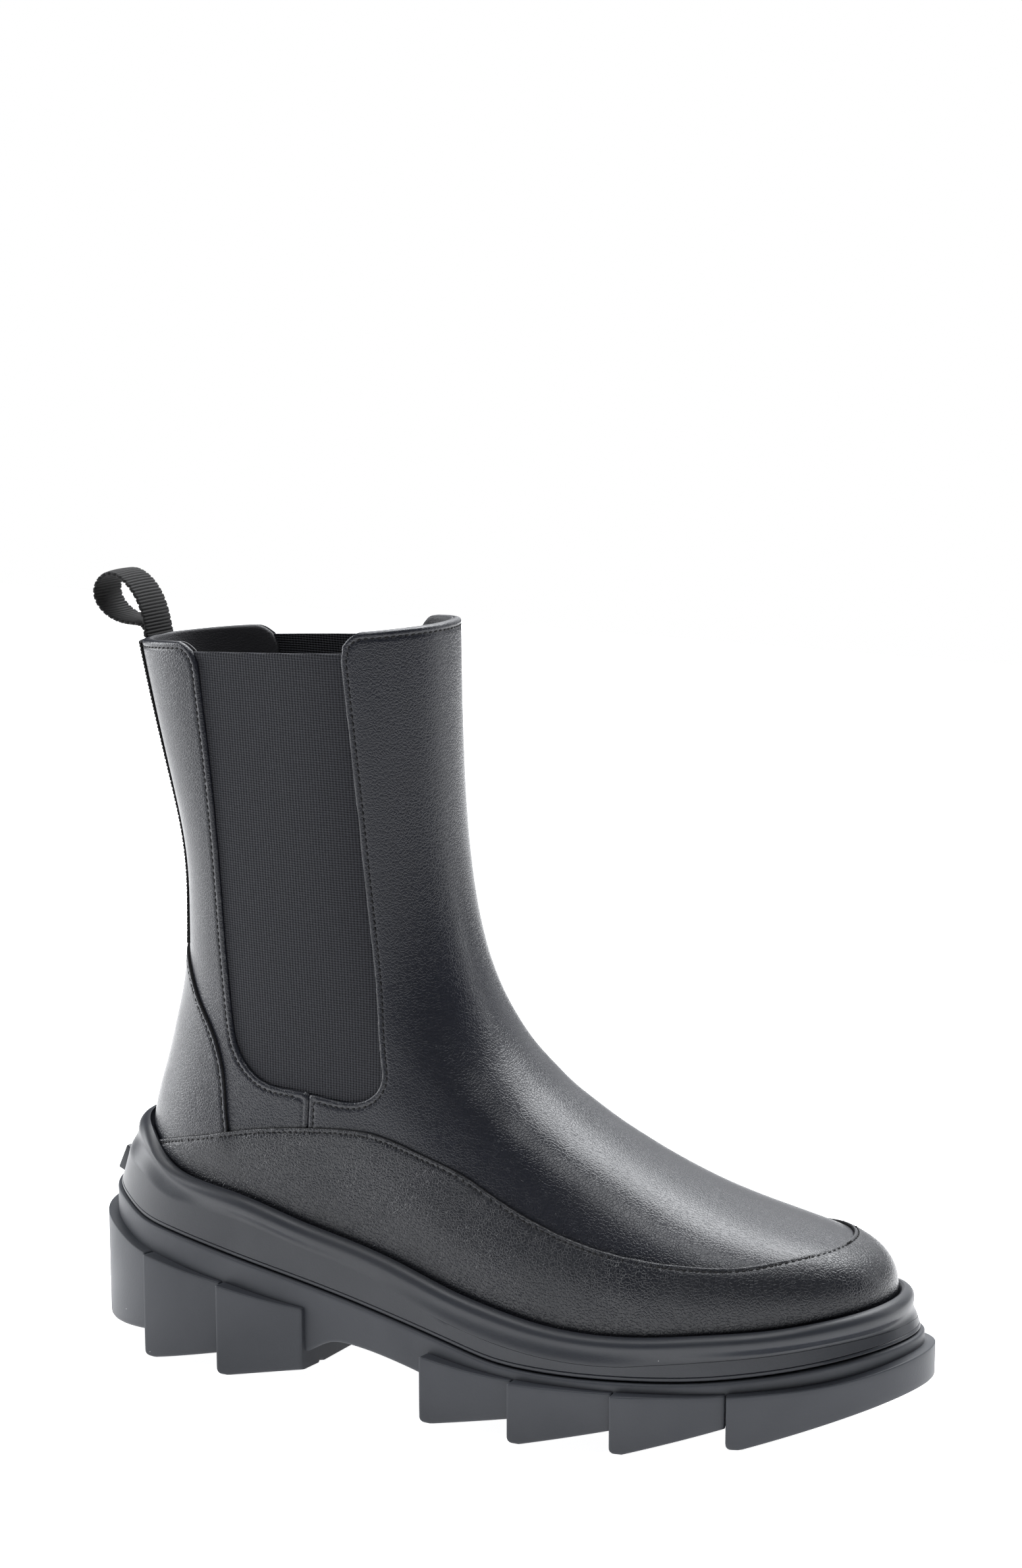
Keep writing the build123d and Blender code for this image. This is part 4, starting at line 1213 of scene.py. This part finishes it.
# --- Stitches -------------------------------------------------------------------------
# Bonded polyester thread, one row 2 mm inside each folded edge and 1.35 mm inside each
# lapped edge; every stitch dips into its needle holes and leans, as a lockstitch does.
def lockstitch_tree():
    """Repeats a leaning stitch along a line whose points carry the leather's normal."""
    tree = bpy.data.node_groups.new("lockstitch", "GeometryNodeTree")
    face = tree.interface
    face.new_socket("Geometry", in_out="INPUT", socket_type="NodeSocketGeometry")
    for label, value in (("Pitch", 0.0024), ("Length", 0.0019), ("Thread", 0.0003), ("Slant", 0.12)):
        face.new_socket(label, in_out="INPUT", socket_type="NodeSocketFloat").default_value = value
    face.new_socket("Material", in_out="INPUT", socket_type="NodeSocketMaterial")
    face.new_socket("Geometry", in_out="OUTPUT", socket_type="NodeSocketGeometry")
    put, out = tree.nodes.new("NodeGroupInput").outputs, tree.nodes.new("NodeGroupOutput")
    line = node(tree, "GeometryNodeMeshToCurve", {"Mesh": put["Geometry"]})
    spacing = {"Curve": line.outputs[0], "Length": put["Pitch"]}
    spaced = node(tree, "GeometryNodeResampleCurve", spacing, mode="LENGTH")
    along = node(tree, "GeometryNodeInputTangent")
    up = node(tree, "GeometryNodeInputNamedAttribute", {"Name": "up"}, data_type="FLOAT_VECTOR")
    first = node(tree, "FunctionNodeAlignRotationToVector", {"Vector": along.outputs[0]}, axis="X")
    flat = node(
        tree, "FunctionNodeAlignRotationToVector", {"Rotation": first.outputs[0], "Vector": up.outputs[0]},
        axis="Z", pivot_axis="X",
    )
    stray = node(tree, "FunctionNodeRandomValue", {"Seed": 7}, data_type="FLOAT")
    stray.inputs[2].default_value, stray.inputs[3].default_value = -0.08, 0.08
    lean = math_node(tree, "ADD", stray.outputs[1], put["Slant"])
    turn = node(tree, "ShaderNodeCombineXYZ", {"Z": lean})
    by = node(tree, "FunctionNodeEulerToRotation", {0: turn.outputs[0]})
    turned = node(
        tree, "FunctionNodeRotateRotation", {0: flat.outputs[0], 1: by.outputs[0]}, rotation_space="LOCAL"
    )
    ball = node(tree, "GeometryNodeMeshUVSphere", {"Segments": 8, "Rings": 6, "Radius": 1.0})
    half = math_node(tree, "MULTIPLY", put["Length"], 0.5)
    size = node(tree, "ShaderNodeCombineXYZ", {"X": half, "Y": put["Thread"], "Z": put["Thread"]})
    thread = node(tree, "GeometryNodeTransform", {"Geometry": ball.outputs[0], "Scale": size.outputs[0]})
    placed = {"Points": spaced.outputs[0], "Instance": thread.outputs[0], "Rotation": turned.outputs[0]}
    row = node(tree, "GeometryNodeInstanceOnPoints", placed)
    solid = node(tree, "GeometryNodeRealizeInstances", {0: row.outputs[0]})
    smooth = node(tree, "GeometryNodeSetShadeSmooth", {0: solid.outputs[0]})
    with_thread_material = node(tree, "GeometryNodeSetMaterial", {"Geometry": smooth.outputs[0], "Material": put["Material"]})
    tree.links.new(with_thread_material.outputs[0], out.inputs[0])
    return tree


LOCKSTITCH = lockstitch_tree()
# Black thread, set darker than the leather: its own colour, and painted shade of the needle holes around each
# stitch.
THREAD_AND_HOLE_SHADE = yarn_material("black_thread_and_hole_shade", (0.002, 0.002, 0.0022), (0.007, 0.007, 0.0075), 0.6)


def sew(name, rows, pitch, length, thread):
    """Stitches along rows of the given pieces; rows maps a piece to the part of its row kept."""
    points, ups, ends = [], [], []
    for piece, keep in rows.items():
        top, normals, pairs = edge_rows[piece]
        kept = [pair for pair in pairs if keep(top[pair[0]]) and keep(top[pair[1]])]
        used = sorted({k for pair in kept for k in pair})
        place = {k: len(points) + i for i, k in enumerate(used)}
        points += [top[k] + normals[k] * 0.07 for k in used]
        ups += [normals[k] for k in used]
        ends += [(place[a], place[b]) for a, b in kept]
    line = bpy.data.meshes.new(name)
    line.from_pydata([tuple(p * MM) for p in points], ends, [])
    attribute = line.attributes.new("up", "FLOAT_VECTOR", "POINT")
    attribute.data.foreach_set("vector", np.array(ups, float).ravel())
    guide = new_object(name + "_line", line)
    modifier = guide.modifiers.new("lockstitch", "NODES")
    modifier.node_group = LOCKSTITCH
    sockets = {i.name: i.identifier for i in LOCKSTITCH.interface.items_tree if i.in_out == "INPUT"}
    for label, value in (("Pitch", pitch), ("Length", length), ("Thread", thread), ("Material", THREAD_AND_HOLE_SHADE)):
        modifier[sockets[label]] = value
    bpy.context.view_layer.update()
    shown = guide.evaluated_get(bpy.context.evaluated_depsgraph_get())
    mesh = bpy.data.meshes.new_from_object(shown)
    mesh.name = name
    bpy.data.objects.remove(guide)
    made = new_object(name, mesh)
    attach(made, "boot")


def above_mudguard(p, gap=1.2):
    """True where a row of stitches is not hidden by the mudguard."""
    return p[2] > seam_height(p[0]) + gap


def on_quarter_row(p):
    """Sewn along the topline and beside the window, not down the side seam or the back."""
    topline = p[2] > quarter_top(p[0]) - 6
    side_seam = p[0] > -58 and p[2] < 93
    patched = p[0] < -82 and p[2] < patch_height(p[0]) + 1
    return above_mudguard(p) and (topline or p[0] > -101) and not side_seam and not patched


shaft_rows = {"vamp_leather": above_mudguard, "heel_patch_leather": above_mudguard}
shaft_rows.update({"quarter_leather_" + word: on_quarter_row for word in ("lateral", "medial")})
sew("shaft_stitches", shaft_rows, 2.15 * MM, 1.5 * MM, 0.28 * MM)
sew("mudguard_stitches", {"mudguard_leather": lambda p: True}, 1.95 * MM, 1.4 * MM, 0.28 * MM)


# --- Footbed and what is hidden under it ----------------------------------------------
# A foam footbed faced with thin leather, cupped at the heel, lies on the insole board.
# Board, shank, rivets, filler, toe puff and heel counter are fixed inside the boot.
INSIDE = -3.75  # the footbed's edge, against the lining
FOOTBED_LOW, FOOTBED_TOP = 2.1, 5.9  # above the last's sole edge
sole_line = last_point(np.zeros(200), np.linspace(math.pi, 0, 200))


def edge_rise(share):
    """The footbed's top rises towards both edges and is rounded off at the very edge."""
    out = 2 * np.abs(share - 0.5)
    return 1.0 * out**4 - 0.9 * (np.clip(out - 0.96, 0, 1) / 0.04) ** 2


def build_footbed():
    toe_to_heel = np.arccos(np.linspace(1, -1, 90)) * 0.992 + 0.012
    bm = bmesh.new()
    rings = []
    sole_z = lambda x: np.interp(x, sole_line[:, 0], sole_line[:, 2])
    faces = []
    for level in (FOOTBED_TOP, FOOTBED_LOW):
        v = find_v(toe_to_heel, lambda p: p[..., 2] - sole_z(p[..., 0]) - level, 0.0, 0.4)
        sides = [last_point(v, s * toe_to_heel) + INSIDE * last_normal(v, s * toe_to_heel) for s in (-1, 1)]
        for side in sides:
            side[:, 2] = sole_z(side[:, 0]) + level
        faces.append(sides)
    share = np.concatenate([[0, 0.01, 0.03, 0.07], np.linspace(0.14, 0.86, 13), [0.93, 0.97, 0.99, 1]])
    for i in range(len(toe_to_heel)):
        ring = [faces[0][0][i] * (1 - u) + faces[0][1][i] * u + np.array([0, 0, edge_rise(u)]) for u in share]
        ring += [faces[1][1][i] * (1 - u) + faces[1][0][i] * u for u in np.linspace(0, 1, 9)]
        rings.append([bm.verts.new(Vector(p) * MM) for p in ring])
    join_rings(bm, rings)
    bm.faces.new(rings[0][::-1])
    bm.faces.new(rings[-1])
    bmesh.ops.recalc_face_normals(bm, faces=bm.faces)
    return smooth_object("footbed_foam", bm)


FOOTBED_COVER = leather(
    "footbed_cover", (0.035, 0.034, 0.034), (0.05, 0.049, 0.048), 0.55, 0.7, 1000.0, 0.00006
)
footbed = build_footbed()
footbed.data.materials.append(FOOTBED_COVER)
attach(footbed, "boot")
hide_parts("footbed")


def fibre(name, dark, light, rough, scale, depth, metallic=0.0):
    """Pressed fibre, cork or brushed steel: mottled colour over a fine bump."""
    mat, tree, shader = finish_material(name, rough)
    grit = noise(tree, object_place(tree), scale, 5.0)
    tree.links.new(mix_colours(tree, grit, dark, light), shader.inputs["Base Color"])
    add_bump(tree, shader, grit, depth)
    shader.inputs["Metallic"].default_value = metallic
    return mat


STIFFENER = fibre("thermoplastic_stiffener", (0.5, 0.47, 0.4), (0.62, 0.59, 0.52), 0.6, 500.0, 0.00005)
BOARD = fibre("cellulose_board", (0.24, 0.17, 0.1), (0.4, 0.3, 0.19), 0.75, 900.0, 0.0001)
STEEL = fibre("spring_steel", (0.42, 0.42, 0.43), (0.55, 0.55, 0.56), 0.35, 1500.0, 0.00002, 1.0)
CORK = fibre("cork_filler", (0.16, 0.08, 0.035), (0.42, 0.26, 0.13), 0.85, 450.0, 0.0003)
hidden = {"toe_puff": STIFFENER, "heel_counter": STIFFENER, "insole_board": BOARD}
hidden.update({"shank": STEEL, "shank_rivets": STEEL, "filler": CORK})
for cad_name, finish in hidden.items():
    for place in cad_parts[cad_name].material_slots:
        place.material = finish


# --- Camera, light and floor ----------------------------------------------------------
# A long lens a little above the boot, looking at its outer side and toe; five soft lamps
# that are not seen themselves, and a white floor and backdrop.
camera_data = bpy.data.cameras.new("view")
camera_data.lens = 86.5
camera_data.shift_x = 0.0067
camera_data.shift_y = 0.167
camera = bpy.data.objects.new("view", camera_data)
bpy.context.scene.collection.objects.link(camera)
camera.location = (0.5763, -0.9982, 0.4059)
camera.rotation_euler = (Vector((0, 0, 0.110)) - camera.location).to_track_quat("-Z", "Y").to_euler()
bpy.context.scene.camera = camera


def soft_light(name, place, aim, size, power):
    """Rectangular lamp turned to its aim; sizes in metres, power in watts."""
    data = bpy.data.lights.new(name, "AREA")
    data.shape = "RECTANGLE"
    data.size, data.size_y = size
    data.energy = power
    data.color = (0.965, 0.98, 1.0)
    light = bpy.data.objects.new(name, data)
    bpy.context.scene.collection.objects.link(light)
    light.visible_camera = False
    light.location = place
    light.rotation_euler = (Vector(aim) - Vector(place)).to_track_quat("-Z", "Y").to_euler()


soft_light("heel_side_softbox", (-1.5, -0.20, 0.58), (-0.05, 0, 0.12), (0.8, 1.1), 25)
soft_light("top_softbox", (0.0, 0.75, 1.35), (0, 0, 0.1), (1.5, 0.9), 46)
soft_light("toe_side_strip", (1.2, 0.9, 0.7), (0.05, 0, 0.1), (0.4, 1.2), 6)
soft_light("backdrop_glow", (-0.1, 1.6, 0.62), (0.08, 0, 0.08), (2.2, 0.9), 8)
soft_light("overhead_softbox", (-0.15, -0.4, 1.5), (0, 0, 0.1), (1.0, 0.6), 11)

world = bpy.data.worlds.new("studio")
bpy.context.scene.world = world
world.use_nodes = True
sky = world.node_tree
backdrop = sky.nodes["Background"]
backdrop.inputs["Color"].default_value = (1, 1, 1, 1)
ambient = node(sky, "ShaderNodeBackground", {"Color": (1, 1, 1, 1), "Strength": 0.06})
seen = node(sky, "ShaderNodeLightPath").outputs["Is Camera Ray"]
join = node(sky, "ShaderNodeMixShader", {0: seen, 1: ambient.outputs[0], 2: backdrop.outputs[0]})
sky.links.new(join.outputs[0], sky.nodes["World Output"].inputs["Surface"])

floor_mesh = bpy.data.meshes.new("paper_floor")
FLOOR = 1.5
floor_corners = [(-FLOOR, -FLOOR, 0), (FLOOR, -FLOOR, 0), (FLOOR, FLOOR, 0), (-FLOOR, FLOOR, 0)]
floor_mesh.from_pydata(floor_corners, [], [(0, 1, 2, 3)])
floor = new_object("paper_floor", floor_mesh)
paper, _, paper_shader = finish_material("white_paper", 0.9, 0.1)
paper_shader.inputs["Base Color"].default_value = (0.85, 0.85, 0.85, 1)
paper_shader.inputs["Emission Color"].default_value = (1, 1, 1, 1)
paper_shader.inputs["Emission Strength"].default_value = 0.95
floor_mesh.materials.append(paper)
bpy.context.scene.view_settings.view_transform = "Standard"
